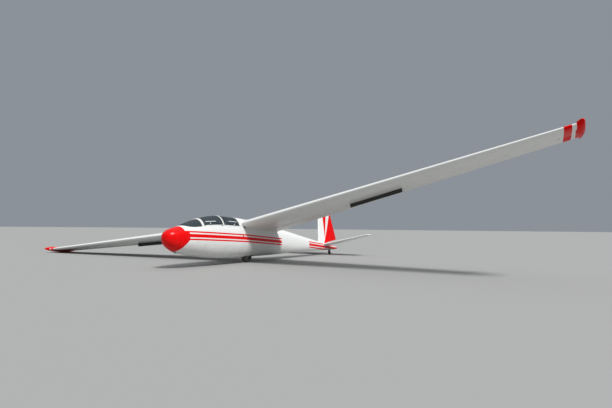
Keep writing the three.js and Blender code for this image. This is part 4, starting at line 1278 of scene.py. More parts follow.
def paned(first, last, rail):
    """A pane as two skins joined round the edge, tucked a little way into the frame."""
    rows = between(first - PANE_TUCK, last + PANE_TUCK, 0.02)
    rail -= PANE_TUCK
    return walled(*(arched(rows, inset, rail, rail) for inset in (PANE_INSET, PANE_INSET + PANE_THICK)))


def frame_paint():
    """White enamel over steel strip, rubbed dull in places."""
    nodes = Nodes("frame_paint", WHITE, 0.35)
    wear = nodes.noise(18.0, 6.0)
    nodes.surface(Base_Color=nodes.blend(wear * 0.4, WHITE, GRIME_AND_SHADE), Roughness=0.25 + wear * 0.3)
    nodes.bump(nodes.noise(60.0, 3.0), 0.0004, 0.5)
    return nodes.material


def acrylic():
    """Tinted acrylic: darker and more mirror-like where it is seen edge-on, with a faint haze."""
    nodes = Nodes("acrylic", GLASS_TINT, 0.03)
    edge = Signal(nodes, nodes.add("ShaderNodeLayerWeight", Blend=0.35).outputs["Fresnel"])
    clear = nodes.sum("MINIMUM", 0.07 + edge * 0.9, 0.95)
    nodes.surface(Roughness=0.015 + nodes.noise(7.0, 6.0) * 0.05, Alpha=clear, IOR=2.2)
    nodes.surface(Coat_Weight=1.0, Coat_Roughness=0.02)
    return nodes.material


def softened(piece, width):
    """Rounds a piece's hard edges with a narrow bevel."""
    bevel = piece.modifiers.new("edge", "BEVEL")
    bevel.width, bevel.segments, bevel.limit_method = width, 3, "ANGLE"
    bevel.angle_limit = np.radians(40)
    return piece


canopy_paint, glass = frame_paint(), acrylic()
tops = np.linspace(0.44, 0.60, 1601)
over_sill = body_lines(tops)[1] - sill_height(tops)
screen_from, glass_from = (np.interp(0, over_sill - gap, tops) for gap in (RAIL_GAP, RAILS["windscreen"]))
screen_rows = [between(screen_from, glass_from, 0.008), between(glass_from, WINDSCREEN_END - BOW_HALF, 0.02)]
screen_rows.append(between(WINDSCREEN_END - BOW_HALF, WINDSCREEN_END, 0.01))
hood_edges = [HOOD_FROM, HOOD_FROM + BOW_HALF, HOOD_MIDDLE - MIDDLE_HALF]
hood_edges += [HOOD_MIDDLE + MIDDLE_HALF, HOOD_END - BOW_HALF, HOOD_END]
hood_rows = [between(*pair, 0.02) for pair in zip(hood_edges, hood_edges[1:])]
for name, parts, body in (("windscreen", screen_rows, "airframe"), ("canopy", hood_rows, "canopy")):
    ends = np.cumsum([len(part) - 1 for part in parts])
    rows_all = np.concatenate([parts[0], *(part[1:] for part in parts[1:])])
    windows = [(int(ends[k - 1]), int(ends[k])) for k in range(1, len(parts), 2)]
    frame_grids = framed(rows_all, windows, RAILS[name])
    piece = made_of(f"{name}_strip", frame_grids, body, canopy_paint, weld=1e-5)
    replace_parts(softened(piece, 0.003), f"{name}_frame")
for name, body, first, last in (
    ("windscreen_pane", "airframe", glass_from + 0.002, WINDSCREEN_END - BOW_HALF),
    ("canopy_pane_front", "canopy", HOOD_FROM + BOW_HALF, HOOD_MIDDLE - MIDDLE_HALF),
    ("canopy_pane_rear", "canopy", HOOD_MIDDLE + MIDDLE_HALF, HOOD_END - BOW_HALF),
):
    pane_grids = paned(first, last, RAILS[name.split("_")[0]])
    made_of(name.replace("pane", "glass"), pane_grids, body, glass, name)

# Canopy fittings
# Two steel knuckles hinge the hood at the starboard sill, and a bent handle on a turned boss locks it at
# the port rail.
HINGES_AT = (1.180, 2.120)
KNUCKLE_LENGTH = 0.046
KNUCKLE_RADIUS = 0.007
KNUCKLE_OUTSIDE = 0.004
KNUCKLE_ABOVE = 0.001
ROD_EDGE = 0.0015
HANDLE_AT = 1.620
HANDLE_RISE = 0.016
HANDLE_BAR = ((-0.004, -0.006, 0.002), (0.020, -0.009, 0.002), (0.050, -0.009, 0.001), (0.062, -0.006, 0.0))


def turned(start, way, profile, sides=32):
    """A lathe form about the line from a start along a way: each row of the profile is a distance along
    the line and a radius."""
    profile, along = np.asarray(profile, float), np.asarray(way) / np.linalg.norm(way)
    across = np.cross(along, [0.31, 0.52, 0.79])
    across /= np.linalg.norm(across)
    angle = np.linspace(0, 2 * np.pi, sides + 1)[None, :, None]
    ring = across * np.cos(angle) + np.cross(along, across) * np.sin(angle)
    return start + profile[:, :1, None] * along + profile[:, 1:, None] * ring


def rod(start, way, length, radius, sides=32):
    """A plain rod from a start along a way, with its ends a little rounded."""
    turn = np.linspace(0, np.pi / 2, 4)
    near = np.stack([ROD_EDGE * (1 - np.cos(turn)), radius - ROD_EDGE * (1 - np.sin(turn))], axis=1)
    far = np.stack([length - near[::-1, 0], near[::-1, 1]], axis=1)
    return turned(start, way, np.concatenate([[[0, 0]], near, far, [[length, 0]]]), sides)


def swept(path, profile, up=(0, 0, 1), scale=None):
    """A closed profile carried along a path, kept square to it and level with the up direction. Its two
    ends are closed to their middle points."""
    path, up = np.asarray(path, float), np.asarray(up, float)
    ahead = np.gradient(path, axis=0)
    ahead /= np.linalg.norm(ahead, axis=1, keepdims=True)
    across = np.cross(ahead, up)
    across /= np.linalg.norm(across, axis=1, keepdims=True)
    over = np.cross(across, ahead)
    size = np.ones(len(path)) if scale is None else np.asarray(scale)
    sized = profile[None] * size[:, None, None]
    grid = path[:, None] + sized[..., :1] * across[:, None] + sized[..., 1:] * over[:, None]
    ends = grid[[0, -1]].mean(axis=1, keepdims=True) + 0 * grid[[0, -1]]
    return np.concatenate([ends[:1], grid, ends[1:]])


def round_profile(radius, sides=12):
    angle = np.linspace(0, 2 * np.pi, sides + 1)
    return np.stack([radius * np.cos(angle), radius * np.sin(angle)], axis=1)


def flat_profile(width, thick, edge=0.3):
    """A flat strip's outline with rounded edges: a superellipse of a high power."""
    angle = np.linspace(0, 2 * np.pi, 25)
    wide, tall = (np.sign(way) * np.abs(way) ** edge for way in (np.cos(angle), np.sin(angle)))
    return np.stack([width / 2 * wide, thick / 2 * tall], axis=1)


def rounded_block(low, high, power=0.16, count=25):
    """A box with rounded edges between two corners: a sphere whose sines and cosines are raised to a
    small power, which flattens its sides."""
    low, high = np.asarray(low, float), np.asarray(high, float)
    tilt, turn = np.linspace(-np.pi / 2, np.pi / 2, count), np.linspace(-np.pi, np.pi, 2 * count - 1)
    tilt, turn = np.meshgrid(tilt, turn, indexing="ij")

    def flat(value):
        return np.sign(value) * np.where(np.abs(value) < 1e-9, 0, np.abs(value)) ** power

    out = flat(np.cos(tilt))
    unit = np.stack([out * flat(np.cos(turn)), out * flat(np.sin(turn)), flat(np.sin(tilt))], axis=-1)
    return (low + high) / 2 + unit * (high - low) / 2


def steel_paint(name, colour, roughness):
    """Plated steel, dulled in blotches and finely scratched."""
    nodes = Nodes(name, colour, roughness)
    dull = nodes.noise(40.0, 6.0)
    nodes.surface(Base_Color=nodes.blend(dull, colour, shaded(colour, 0.6)), Metallic=0.85)
    nodes.surface(Roughness=roughness - 0.1 + dull * 0.3)
    nodes.bump(nodes.noise(160.0, 2.0), 0.0002, 0.5)
    return nodes.material


steel = steel_paint("steel", (0.42, 0.42, 0.41, 1), 0.38)
hinge_foot = [oval(x, angle_at(np.array(x), sill_height(x))) for x in HINGES_AT]
knuckles = [point + np.array([0, KNUCKLE_OUTSIDE, KNUCKLE_ABOVE]) for point in hinge_foot]
along_sill = knuckles[1] - knuckles[0]
knuckle_patches = [rod(point, along_sill, KNUCKLE_LENGTH, KNUCKLE_RADIUS) for point in knuckles]
made_of("canopy_hinges", knuckle_patches, "canopy", steel)
handle_at = mirrored(oval(HANDLE_AT, angle_at(np.array(HANDLE_AT), sill_height(HANDLE_AT) + HANDLE_RISE)))
handle_patches = [
    rod(handle_at + [0, 0.004, 0], (0, -1, 0), 0.012, 0.009),
    swept(handle_at + np.array(HANDLE_BAR), round_profile(0.0035), scale=[1.2, 1, 1, 0.8]),
]
made_of("canopy_handle", handle_patches, "canopy", steel)

# Sliding windows
# Each hood pane has a small window on its port side that slides on white plastic rails. A black rubber
# bead seals its edge, and a turned knob moves it.
WINDOWS = (
    # station from and to, rise over the sill, roundness of the front and back, knob's station and rise
    (1.085, 1.665, 0.128, 0.25, 0.80, 1.260, 0.072),
    (1.770, 2.310, 0.148, 0.80, 0.25, 2.130, 0.064),
)
WINDOW_FOOT = 0.026
WINDOW_FACING = (0, -0.8, 0.6)
KNOB = (
    # distance out of the pane, radius
    (-0.001, 0.0),
    (0.0, 0.014),
    (0.006, 0.009),
    (0.012, 0.015),
    (0.016, 0.012),
    (0.018, 0.0),
)
# Black for rubber, and for the painted shade in the ports and intakes.
RUBBER_AND_SHADE_BLACK = (0.015, 0.015, 0.016, 1)


def enamel(name, colour, gloss=0.4):
    """Sprayed enamel with orange peel, scuffed lighter in places."""
    nodes = Nodes(name, colour, gloss)
    scuff = nodes.noise(22.0, 7.0)
    worn = nodes.step(scuff, 0.62, 0.04)
    nodes.surface(Base_Color=nodes.blend(worn * 0.5, colour, shaded(colour, 1.5, 0.05)))
    nodes.surface(Roughness=gloss - 0.08 + scuff * 0.25)
    nodes.bump(nodes.noise(140.0, 3.0), 0.0003, 0.4)
    return nodes.material


def on_hood(station, rise, out):
    """A point on the port side of the hood: a rise over the sill, and a reach out of the panes."""
    inset = PANE_INSET - out
    return mirrored(oval(station, angle_at(station, sill_height(station) + rise, inset), inset))


rail_plastic = enamel("rail_plastic", (0.72, 0.74, 0.72, 1))
# Black rubber for the window seals, also the painted shade in the ports' and intakes' throats.
seal_rubber_and_shade = enamel("seal_rubber_and_shade", RUBBER_AND_SHADE_BLACK, 0.7)
window_edge = enamel("window_edge", (0.22, 0.23, 0.23, 1))
window_patches = []
for first, last, top, front_power, back_power, knob, knob_rise in WINDOWS:
    turn = np.linspace(0, np.pi, 61)
    power = np.where(turn < np.pi / 2, front_power, back_power)
    along = (first + last) / 2 - np.sign(np.cos(turn)) * (last - first) / 2 * np.abs(np.cos(turn)) ** power
    rise = WINDOW_FOOT + (top - WINDOW_FOOT) * np.sin(turn).clip(0) ** power
    for out, profile, coat in (
        (0.001, flat_profile(0.009, 0.003), window_edge),
        (0.0026, flat_profile(0.003, 0.002), seal_rubber_and_shade),
    ):
        window_patches.append((swept(on_hood(along, rise, out), profile, WINDOW_FACING), coat))
    flat = rise > 0.97 * top
    for places, rises in ((along[flat], rise[flat]), (along[[0, -1]], rise[[0, -1]])):
        rail = on_hood(np.linspace(places[0], places[-1], 25), rises.mean(), 0.0032)
        window_patches.append(swept(rail, flat_profile(0.017, 0.004), WINDOW_FACING))
    spot = on_hood(knob, knob_rise, 0.0)
    window_patches.append(turned(spot, WINDOW_FACING, KNOB))
made_of("sliding_windows", window_patches, "canopy", rail_plastic)

# Ports and intakes
# A small rubber-lined port stands in each flank behind the cockpit, its flat middle painted black as the
# shade of a hole. An air intake with a rolled lip opens under the leading edge of each wing root, its
# flat throat painted black as the shade inside it.
PORT = (2.408, 0.109, 0.017, 0.017)
INTAKE = (2.500, 0.352, 0.048, 0.034)
DISH = (
    # share of the reach, height off the skin
    (0.0, 0.0006),
    (0.45, 0.0006),
    (0.86, 0.0008),
    (0.92, 0.0030),
    (1.02, 0.0034),
    (1.14, 0.0010),
    (1.15, -0.0020),
    (0.0, -0.0020),
)
THROAT_ROWS = 3


def dished(station, height, long, tall):
    """A dish on the starboard flank: rings of an ellipse, each with its own share of the reach and its own
    height off the skin, closed behind the skin."""
    share, out = np.array(DISH).T[:, :, None]
    turn = np.linspace(0, 2 * np.pi, 41)
    along = station + share * long * np.cos(turn)
    rise = height + share * tall * np.sin(turn)
    return oval(along, angle_at(along, rise, -out), -out)


# Painted shade: the middle rows of each dish are black, standing in for the shade inside an opening.
throat = np.arange(len(DISH) - 1)[:, None] < THROAT_ROWS + np.zeros((1, 40))
for name, spot, lip, slot in (
    ("side_ports", PORT, seal_rubber_and_shade, "black_paint"),
    ("air_intakes", INTAKE, fuselage_paint, "white_paint"),
):
    dishes = [(grid, seal_rubber_and_shade, throat) for grid in (dished(*spot), mirrored(dished(*spot)))]
    made_of(name, dishes, "airframe", lip)

# Control hinges
# Streamlined steel brackets stand under the wing and tailplane and on both sides of the fin. Each ends at
# its control's hinge line.
BRACKETS = (
    # surface, distances out, length, width and depth
    (wing, (4.640, 5.700, 6.760, 7.660, 0.900, 1.950, 2.980), (0.135, 0.011, 0.018)),
    (tailplane, (0.450, 1.050, 1.620), (0.075, 0.007, 0.011)),
)
FIN_BRACKETS = (0.420, 1.050, 1.620)


def bracket(surface, a, side, long, wide, tall):
    """A teardrop on a skin, ending at the hinge line: an ellipse carried aft, its size a sine to the
    power of 0.6 of the distance to the power of 1.6."""
    t = np.linspace(0, 1, 25)
    share = surface.hinge(a) - (1 - t) * long / surface.chord(a) - 0.003 / surface.chord(a)
    size = np.sin(np.pi * np.clip(t**1.6, 0.002, 0.93)) ** 0.6
    path = surface.skin(np.full(25, a), share, side) - side * surface.up * 0.0015
    return swept(path, round_profile(1.0, 16) * [wide / 2, tall / 2], surface.up, size)


brackets = [bracket(surface, a, -1, *size) for surface, places, size in BRACKETS for a in places]
brackets += [mirrored(grid) for grid in brackets]
tail_size = BRACKETS[-1][-1]
brackets += [bracket(fin_surface, h, side, *tail_size) for h in FIN_BRACKETS for side in (-1, 1)]
made_of("control_hinges", brackets, "airframe", steel)

# Seats
# Bucket seats of bent sheet stand on the floor, each with a cushion of dark woven cloth over foam, sewn in
# channels across its seat and back.
FLOOR_TOP = -0.345
SEATS = {
    # front edge, seat height, back foot, back top station and height
    "front": (1.110, -0.262, 1.450, 1.600, 0.130),
    "rear": (1.800, -0.240, 2.130, 2.270, 0.190),
}
SEAT_HALF = 0.195
SEAT_SLOPE = 0.025
SEAT_CURL = 0.030
SEAT_BEND = 0.16
PAD_HALF = 0.172
PAD_THICK = 0.040
PAD_RISE = 0.012
PAD_CHANNEL = 0.085
CHANNEL_DEPTH = 0.005
CHANNEL_WIDTH = 0.006
PAD_VOXEL = 0.006
PAD_SWELL = 0.012
CLOTH_STEPS = 20
CLOTH_COLOUR = (0.045, 0.052, 0.062, 1)
YARN = 0.0024


def seat_line(front, height, foot, top_x, top_z, count=60):
    """The middle of a seat from its front edge back, round the bend and up to the top: two straights
    joined by a parabola."""
    corners = np.array([[front, height], [foot, height - SEAT_SLOPE], [top_x, top_z]])
    near, far = (corners[1] + (corners[end] - corners[1]) * SEAT_BEND for end in (0, 2))
    t = np.linspace(0, 1, count)
    s = t[::4, None]
    seat = corners[0] + (near - corners[0]) * t[::3, None]
    bend = near * (1 - s) ** 2 + 2 * corners[1] * s * (1 - s) + far * s**2
    back = far + (corners[2] - far) * t[::3, None]
    return np.concatenate([seat[:-1], bend[:-1], back])


def off_line(line, reach):
    """A line in the side view, moved square to itself by a reach, upwards and forwards."""
    ahead = np.gradient(line, axis=0)
    ahead /= np.linalg.norm(ahead, axis=1, keepdims=True)
    return line + np.stack([-ahead[:, 1], ahead[:, 0]], axis=1) * reach


def seat_grid(line, half, curl, lift):
    """A seat's surface: the line carried across, with its sides curled up as the fourth power."""
    across = np.linspace(-1, 1, 33)
    raised = [off_line(line, lift + curl * value**4) for value in across]
    grid = np.stack(raised, axis=1)
    return np.stack([grid[..., 0], np.broadcast_to(across * half, grid.shape[:2]), grid[..., 1]], axis=-1)


def seat_cloth():
    """Woven cloth: warp and weft from two fine rows of waves on the airframe's lengths, with a soft sheen."""
    nodes = Nodes("seat_cloth", CLOTH_COLOUR, 0.85)
    station, across, height, _ = nodes.place()
    weave = (nodes.near(across, YARN) + nodes.near(station + height, YARN)) * 400.0
    colour = nodes.blend(weave, shaded(CLOTH_COLOUR, 0.55), shaded(CLOTH_COLOUR, 1.7))
    colour = nodes.blend(nodes.noise(8.0, 5.0) * 0.4, colour, (0.1, 0.1, 0.105, 1))
    nodes.surface(Base_Color=colour, Sheen_Weight=0.25)
    nodes.bump(weave, 0.0006, 0.7)
    return nodes.material


def applied(piece):
    """Gives a piece the mesh that its modifiers make, and drops them."""
    found = bpy.data.meshes.new_from_object(piece.evaluated_get(bpy.context.evaluated_depsgraph_get()))
    piece.modifiers.clear()
    piece.data = found


def stuffed(piece, voxel, cap):
    """Swells a closed pad as cloth under pressure, no point of it further than a cap, and smooths it."""
    remesh = piece.modifiers.new("remesh", "REMESH")
    remesh.mode, remesh.voxel_size = "VOXEL", voxel
    applied(piece)
    start = read_vertices(piece.data, "co")
    cloth = piece.modifiers.new("cloth", "CLOTH")
    cloth.settings.use_pressure, cloth.settings.uniform_pressure_force = True, 4.0
    cloth.settings.effector_weights.gravity = 0
    cloth.point_cache.frame_start, cloth.point_cache.frame_end = 1, CLOTH_STEPS
    for moment in range(1, CLOTH_STEPS + 1):
        bpy.context.scene.frame_set(moment)
    applied(piece)
    bpy.context.scene.frame_set(1)
    move = read_vertices(piece.data, "co") - start
    move *= np.minimum(1, cap / np.maximum(np.linalg.norm(move, axis=1, keepdims=True), 1e-9))
    piece.data.vertices.foreach_set("co", (start + move).ravel())
    smooth = piece.modifiers.new("smooth", "SUBSURF")
    smooth.levels = smooth.render_levels = 1
    applied(piece)


def channelled(piece, line, pitch, depth):
    """Presses sewn channels across a pad: every vertex sinks along its own normal where its distance
    along the seat line is near a multiple of the pitch."""
    mesh = piece.data
    points, normals = read_vertices(mesh, "co"), read_vertices(mesh, "normal")
    run = np.concatenate([[0], np.cumsum(np.linalg.norm(np.diff(line, axis=0), axis=1))])
    gap = np.linalg.norm(in_airframe(points)[:, None, [0, 2]] - line[None], axis=2).argmin(axis=1)
    along = run[gap]
    nearest = np.abs((along + pitch / 2) % pitch - pitch / 2)
    facing = (normals @ axes.T)[:, [0, 2]]
    slope = np.gradient(line, axis=0)[gap]
    front = facing[:, 1] * slope[:, 0] - facing[:, 0] * slope[:, 1] > 0
    pressed = front * (along > pitch / 2) * (along < run[-1] - pitch / 2)
    sink = depth * np.exp(-((nearest / CHANNEL_WIDTH) ** 2)) * pressed
    mesh.vertices.foreach_set("co", (points - normals * sink[:, None]).ravel())
    mesh.update()


seat_enamel, pad_cloth = enamel("seat_enamel", (0.085, 0.095, 0.10, 1)), seat_cloth()
for name, (front, height, foot, top_x, top_z) in SEATS.items():
    line = seat_line(front, height, foot, top_x, top_z)
    shell = walled(*(seat_grid(line, SEAT_HALF, SEAT_CURL, lift) for lift in (-0.002, -0.006)))
    across = np.linspace(-SEAT_HALF, SEAT_HALF, 15)
    lip_path = np.stack([0 * across + (front + 0.004), across, 0 * across + (height - 0.004)], axis=1)
    seat_patches = [*shell, swept(lip_path, round_profile(0.006))]
    for x in (front + 0.03, foot - 0.03):
        leg_top = height - SEAT_SLOPE * (x - front) / (foot - front) - 0.004
        for y in (-0.15, 0.15):
            leg = rounded_block((x - 0.012, y - 0.010, FLOOR_TOP + 0.0005), (x + 0.012, y + 0.010, leg_top))
            seat_patches.append(leg)
    made_of(f"bucket_{name}", seat_patches, "airframe", seat_enamel, f"seat_{name}")
    low = seat_grid(line[1:-1], PAD_HALF, 0.012, PAD_RISE)
    high = seat_grid(line[1:-1], PAD_HALF - 0.006, 0.004, PAD_THICK)
    pad = made_of(f"cushion_{name}", walled(low, high), "airframe", pad_cloth)
    stuffed(pad, PAD_VOXEL, PAD_SWELL)
    channelled(pad, line, PAD_CHANNEL, CHANNEL_DEPTH)
    smoothed(pad.data, 180)
    keep_place(pad.data)
    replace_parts(pad, f"seat_pad_{name}")

# Harness
# Four flat webbing straps at each seat, two over the back from the bulkhead side and two from the hips,
# meet in a round steel buckle that lies on the cushion.
WEBBING = (0.26, 0.25, 0.21, 1)
STRAP_WIDTH = 0.042
STRAP_THICK = 0.0022
STRAP_PROUD = 0.0535
STRAP_APART = 0.071
BUCKLE_AHEAD = 12
RIBS = 0.0016
BUCKLE = (
    # height off the cushion, radius
    (0.0, 0.0),
    (0.0, 0.024),
    (0.004, 0.027),
    (0.009, 0.026),
    (0.011, 0.018),
    (0.013, 0.017),
    (0.014, 0.006),
    (0.013, 0.0),
)


def webbing_paint():
    """Woven webbing: close ribs across the strap and a darker line along each selvedge."""
    nodes = Nodes("webbing", WEBBING, 0.8)
    along, across, _, _ = nodes.parts(nodes.add("ShaderNodeUVMap", {"uv_map": "weave"}).outputs["UV"])
    ribs = nodes.near(along, RIBS)
    colour = nodes.blend(ribs * 900.0, WEBBING, (0.17, 0.165, 0.14, 1))
    edge = nodes.step(abs(across - 0.5), 0.42, 0.02)
    nodes.surface(Base_Color=nodes.blend(edge, colour, (0.10, 0.10, 0.09, 1)))
    nodes.bump(ribs * 600.0, 0.0005, 0.7)
    return nodes.material


def strap_uv(mesh, width):
    """Lays a UV map along a strap made by swept(): metres along it, and the share across it."""
    place = np.empty(len(mesh.vertices) * 3)
    mesh.attributes["airframe"].data.foreach_get("vector", place)
    place = place.reshape(-1, 3)
    corners = np.empty(len(mesh.loops), np.int32)
    mesh.loops.foreach_get("vertex_index", corners)
    across = (place[:, 1] - place[:, 1].min()) / max(float(np.ptp(place[:, 1])), width)
    uv = np.stack([place[corners, 0] + place[corners, 2], across[corners]], axis=1)
    mesh.uv_layers.new(name="weave").data.foreach_set("uv", uv.ravel())


webbing = webbing_paint()
strap_profile = flat_profile(STRAP_WIDTH, STRAP_THICK, 0.5)
for name, (front, height, foot, top_x, top_z) in SEATS.items():
    line = seat_line(front, height, foot, top_x, top_z)
    proud, numbers = off_line(line, STRAP_PROUD), np.arange(len(line))
    start = int(np.argmin(np.hypot(line[:, 0] - foot, line[:, 1] - height))) - BUCKLE_AHEAD
    middle = proud[start]
    patches = []
    for side in (-1, 1):
        rise = np.linspace(0, 1, 26)
        row = np.clip(start + rise * (len(line) - 1 - start), 0, len(line) - 1)
        down = np.stack([np.interp(row, numbers, proud[:, k]) for k in (0, 1)], axis=1)
        lap = np.stack([down[:, 0], side * (0.016 + 0.055 * rise**0.6), down[:, 1]], axis=1)
        over = [(0.012, 0.010), (0.050, -0.030)]
        ends = [(top_x + back, side * STRAP_APART, top_z + up) for back, up in over]
        patches.append(swept(np.concatenate([lap[:-1], ends]), strap_profile, up=(-0.6, 0, 0.8)))
        t = np.linspace(0, 1, 20)
        hip_side = side * (0.02 + (SEAT_HALF - 0.006) * t**0.9 * 0.97)
        hip_rise = middle[1] + 0.006 * np.sin(np.pi * t) - 0.035 * t**3
        patches.append(swept(np.stack([middle[0] + 0.12 * t, hip_side, hip_rise], axis=1), strap_profile))
    belt = made_of(f"harness_{name}", patches, "airframe", webbing)
    strap_uv(belt.data, STRAP_WIDTH)
    slope = line[start + 1] - line[start - 1]
    normal = np.array([-slope[1], 0, slope[0]]) / np.hypot(*slope)
    spot = np.array([middle[0], 0, middle[1]])
    made_of(f"buckle_{name}", [turned(spot, normal, BUCKLE)], "airframe", steel)

# Cockpit floor
# A plywood board painted grey and worn in patches, fitted to the curve of the shell.
FLOOR_FROM = 0.600
FLOOR_TO = 2.350
FLOOR_HALF_WIDTH = 0.170
FLOOR_THICK = 0.012
SHELL_CLEAR = WALL + 0.001
FLOOR_GREY = (0.12, 0.125, 0.125, 1)
BARE_PLY = (0.30, 0.24, 0.17, 1)


def floor_board_paint():
    """Grey floor enamel, scuffed through to ply in patches."""
    nodes = Nodes("floor_board", FLOOR_GREY, 0.65)
    scuff = nodes.noise(16.0, 8.0) * nodes.noise(3.0, 2.0)
    nodes.surface(Base_Color=nodes.blend(nodes.step(scuff, 0.30, 0.06), FLOOR_GREY, BARE_PLY))
    nodes.bump(nodes.noise(90.0, 4.0), 0.0006, 0.5)
    return nodes.material


board_rows = between(FLOOR_FROM, FLOOR_TO, 0.04)
half, _, bottom, waist = body_lines(board_rows)
boards = []
for level in (FLOOR_TOP, FLOOR_TOP - FLOOR_THICK):
    deep = (waist - level) / (waist - bottom - SHELL_CLEAR)
    reach = (half - SHELL_CLEAR) * np.maximum(1 - deep**OVAL_POWER, 0) ** (1 / OVAL_POWER)
    edge = np.stack([board_rows, np.minimum(reach, FLOOR_HALF_WIDTH), 0 * board_rows + level], axis=1)
    boards.append(row_between(edge, mirrored(edge), 13))
made_of("floor_boards", walled(*boards), "airframe", floor_board_paint(), "cockpit_floor")

# Instrument panels
# Plates of black crackle-painted sheet span the tub in front of each seat. Each carries the round
# instruments and the row of switches that its height has room for.
PANELS = {"front": (0.880, -0.060, 0.300), "rear": (1.690, 0.060, 0.330)}
PANEL_THICK = 0.016
DIALS = (
    # across, below the panel's top, radius, needle's angle in degrees
    (-0.115, 0.085, 0.040, 215),
    (0.0, 0.085, 0.040, 90),
    (0.115, 0.085, 0.040, 300),
    (-0.115, 0.180, 0.029, 180),
    (0.0, 0.180, 0.029, 250),
    (0.115, 0.180, 0.029, 20),
)
BEZEL_REACH = 0.006
SWITCHES_BELOW = 0.245
SWITCH = (
    # height off the panel, radius
    (0.0, 0.0),
    (0.0, 0.007),
    (0.004, 0.007),
    (0.005, 0.004),
    (0.018, 0.0025),
    (0.020, 0.0),
)


def crackle_paint():
    """Black crackle paint: a fine wrinkled relief."""
    nodes = Nodes("crackle_paint", (0.012, 0.012, 0.014, 1), 0.6)
    cells = {"feature": "DISTANCE_TO_EDGE"}
    cell = nodes.add("ShaderNodeTexVoronoi", cells, Vector=nodes.place()[3], Scale=260.0)
    colour = nodes.blend(nodes.noise(30.0, 4.0), (0.010, 0.010, 0.012, 1), (0.03, 0.03, 0.032, 1))
    nodes.surface(Base_Color=colour)
    nodes.bump(cell.outputs["Distance"], 0.0012, 0.8)
    return nodes.material


def clock_hand(degrees):
    """The way that a hand at an angle from starboard points, across the panel and up."""
    return np.array([0, np.cos(np.radians(degrees)), np.sin(np.radians(degrees))])


def bezel_profile(radius):
    """An instrument's ring, standing off the panel, and its face."""
    rows = [(0, 0), (0, BEZEL_REACH), (0.006, BEZEL_REACH), (0.010, 0.003), (0.010, 0), (0.005, -0.002)]
    return [rows[0], *((out, radius + past) for out, past in rows[1:]), (rows[-1][0], 0)]


def panel_outline(station, low, high, count=41):
    """A panel's edge from its bottom middle to its top middle, kept inside the shell's own curve."""
    rows = np.linspace(low, high, count)
    half, top, bottom, waist = body_lines(station)
    reach = np.where(rows > waist, top - SHELL_CLEAR - waist, waist - bottom - SHELL_CLEAR)
    share = np.clip(np.abs(rows - waist) / reach, 0, 1)
    wide = (half - SHELL_CLEAR) * (1 - share**OVAL_POWER) ** (1 / OVAL_POWER)
    corner = np.clip((high - rows) / 0.05, 0, 1)
    return np.stack([np.full(count, station), wide * (1 - 0.35 * (1 - corner) ** 3), rows], axis=1)


crackle = crackle_paint()
dial_black = enamel("dial_black", (0.010, 0.010, 0.011, 1), 0.3)
mark_white = enamel("mark_white", (0.75, 0.74, 0.68, 1), 0.5)
for name, (station, low, high) in PANELS.items():
    face = station + PANEL_THICK
    edges = [panel_outline(place, low, high) for place in (station, face)]
    patches = walled(*(row_between(edge, mirrored(edge), 17) for edge in edges))
    for across, below, radius, turn in DIALS:
        if high - below - radius < low + 0.006:
            continue
        spot = np.array([face - 0.001, across, high - below])
        patches.append((turned(spot, (1, 0, 0), bezel_profile(radius), 48), dial_black))
        for mark in np.arange(0, 360, 30):
            line = spot + [0.0055, 0, 0] + np.array([[0.74], [0.92]]) * radius * clock_hand(mark)
            patches.append((swept(line, round_profile(0.0011, 5), up=(1, 0, 0)), mark_white))
        reach = (np.linspace(0, 1, 5)[:, None] - 0.2) * radius * 0.8
        needle = spot + [0.007, 0, 0] + reach * clock_hand(turn)
        grid = swept(needle, flat_profile(0.0042, 0.001), up=(1, 0, 0), scale=[0.9, 1, 0.8, 0.6, 0.25])
        patches.append((grid, mark_white))
    if high - 0.235 >= low + 0.03:
        for across in np.linspace(-0.06, 0.06, 4):
            foot = np.array([face - 0.001, across, high - SWITCHES_BELOW])
            patches.append((turned(foot, (1, 0, 0), SWITCH), steel))
    made_of(f"panel_{name}", patches, "airframe", crackle, f"instrument_panel_{name}")

# Sticks and pedals
# Steel tubes with ribbed rubber grips stand on the floor, behind pairs of pressed pedals on a cross bar.
# Both are fixed at neutral.
STICKS = {"front": (1.000, 0.040), "rear": (1.745, 0.050)}
PEDALS = {"front": 0.700, "rear": 1.645}
ACROSS = (0, 1, 0)
STICK_LEAN = 0.025
GRIP = 0.115
GRIP_RIDGES = 9
BOOT = (
    # height over the floor, radius
    (0.0, 0.0),
    (0.0, 0.045),
    (0.004, 0.046),
    (0.010, 0.034),
    (0.014, 0.036),
    (0.020, 0.026),
    (0.025, 0.028),
    (0.034, 0.017),
    (0.040, 0.018),
    (0.052, 0.009),
    (0.052, 0.0),
)
PEDAL_APART = 0.085
PEDAL_HALF = 0.032

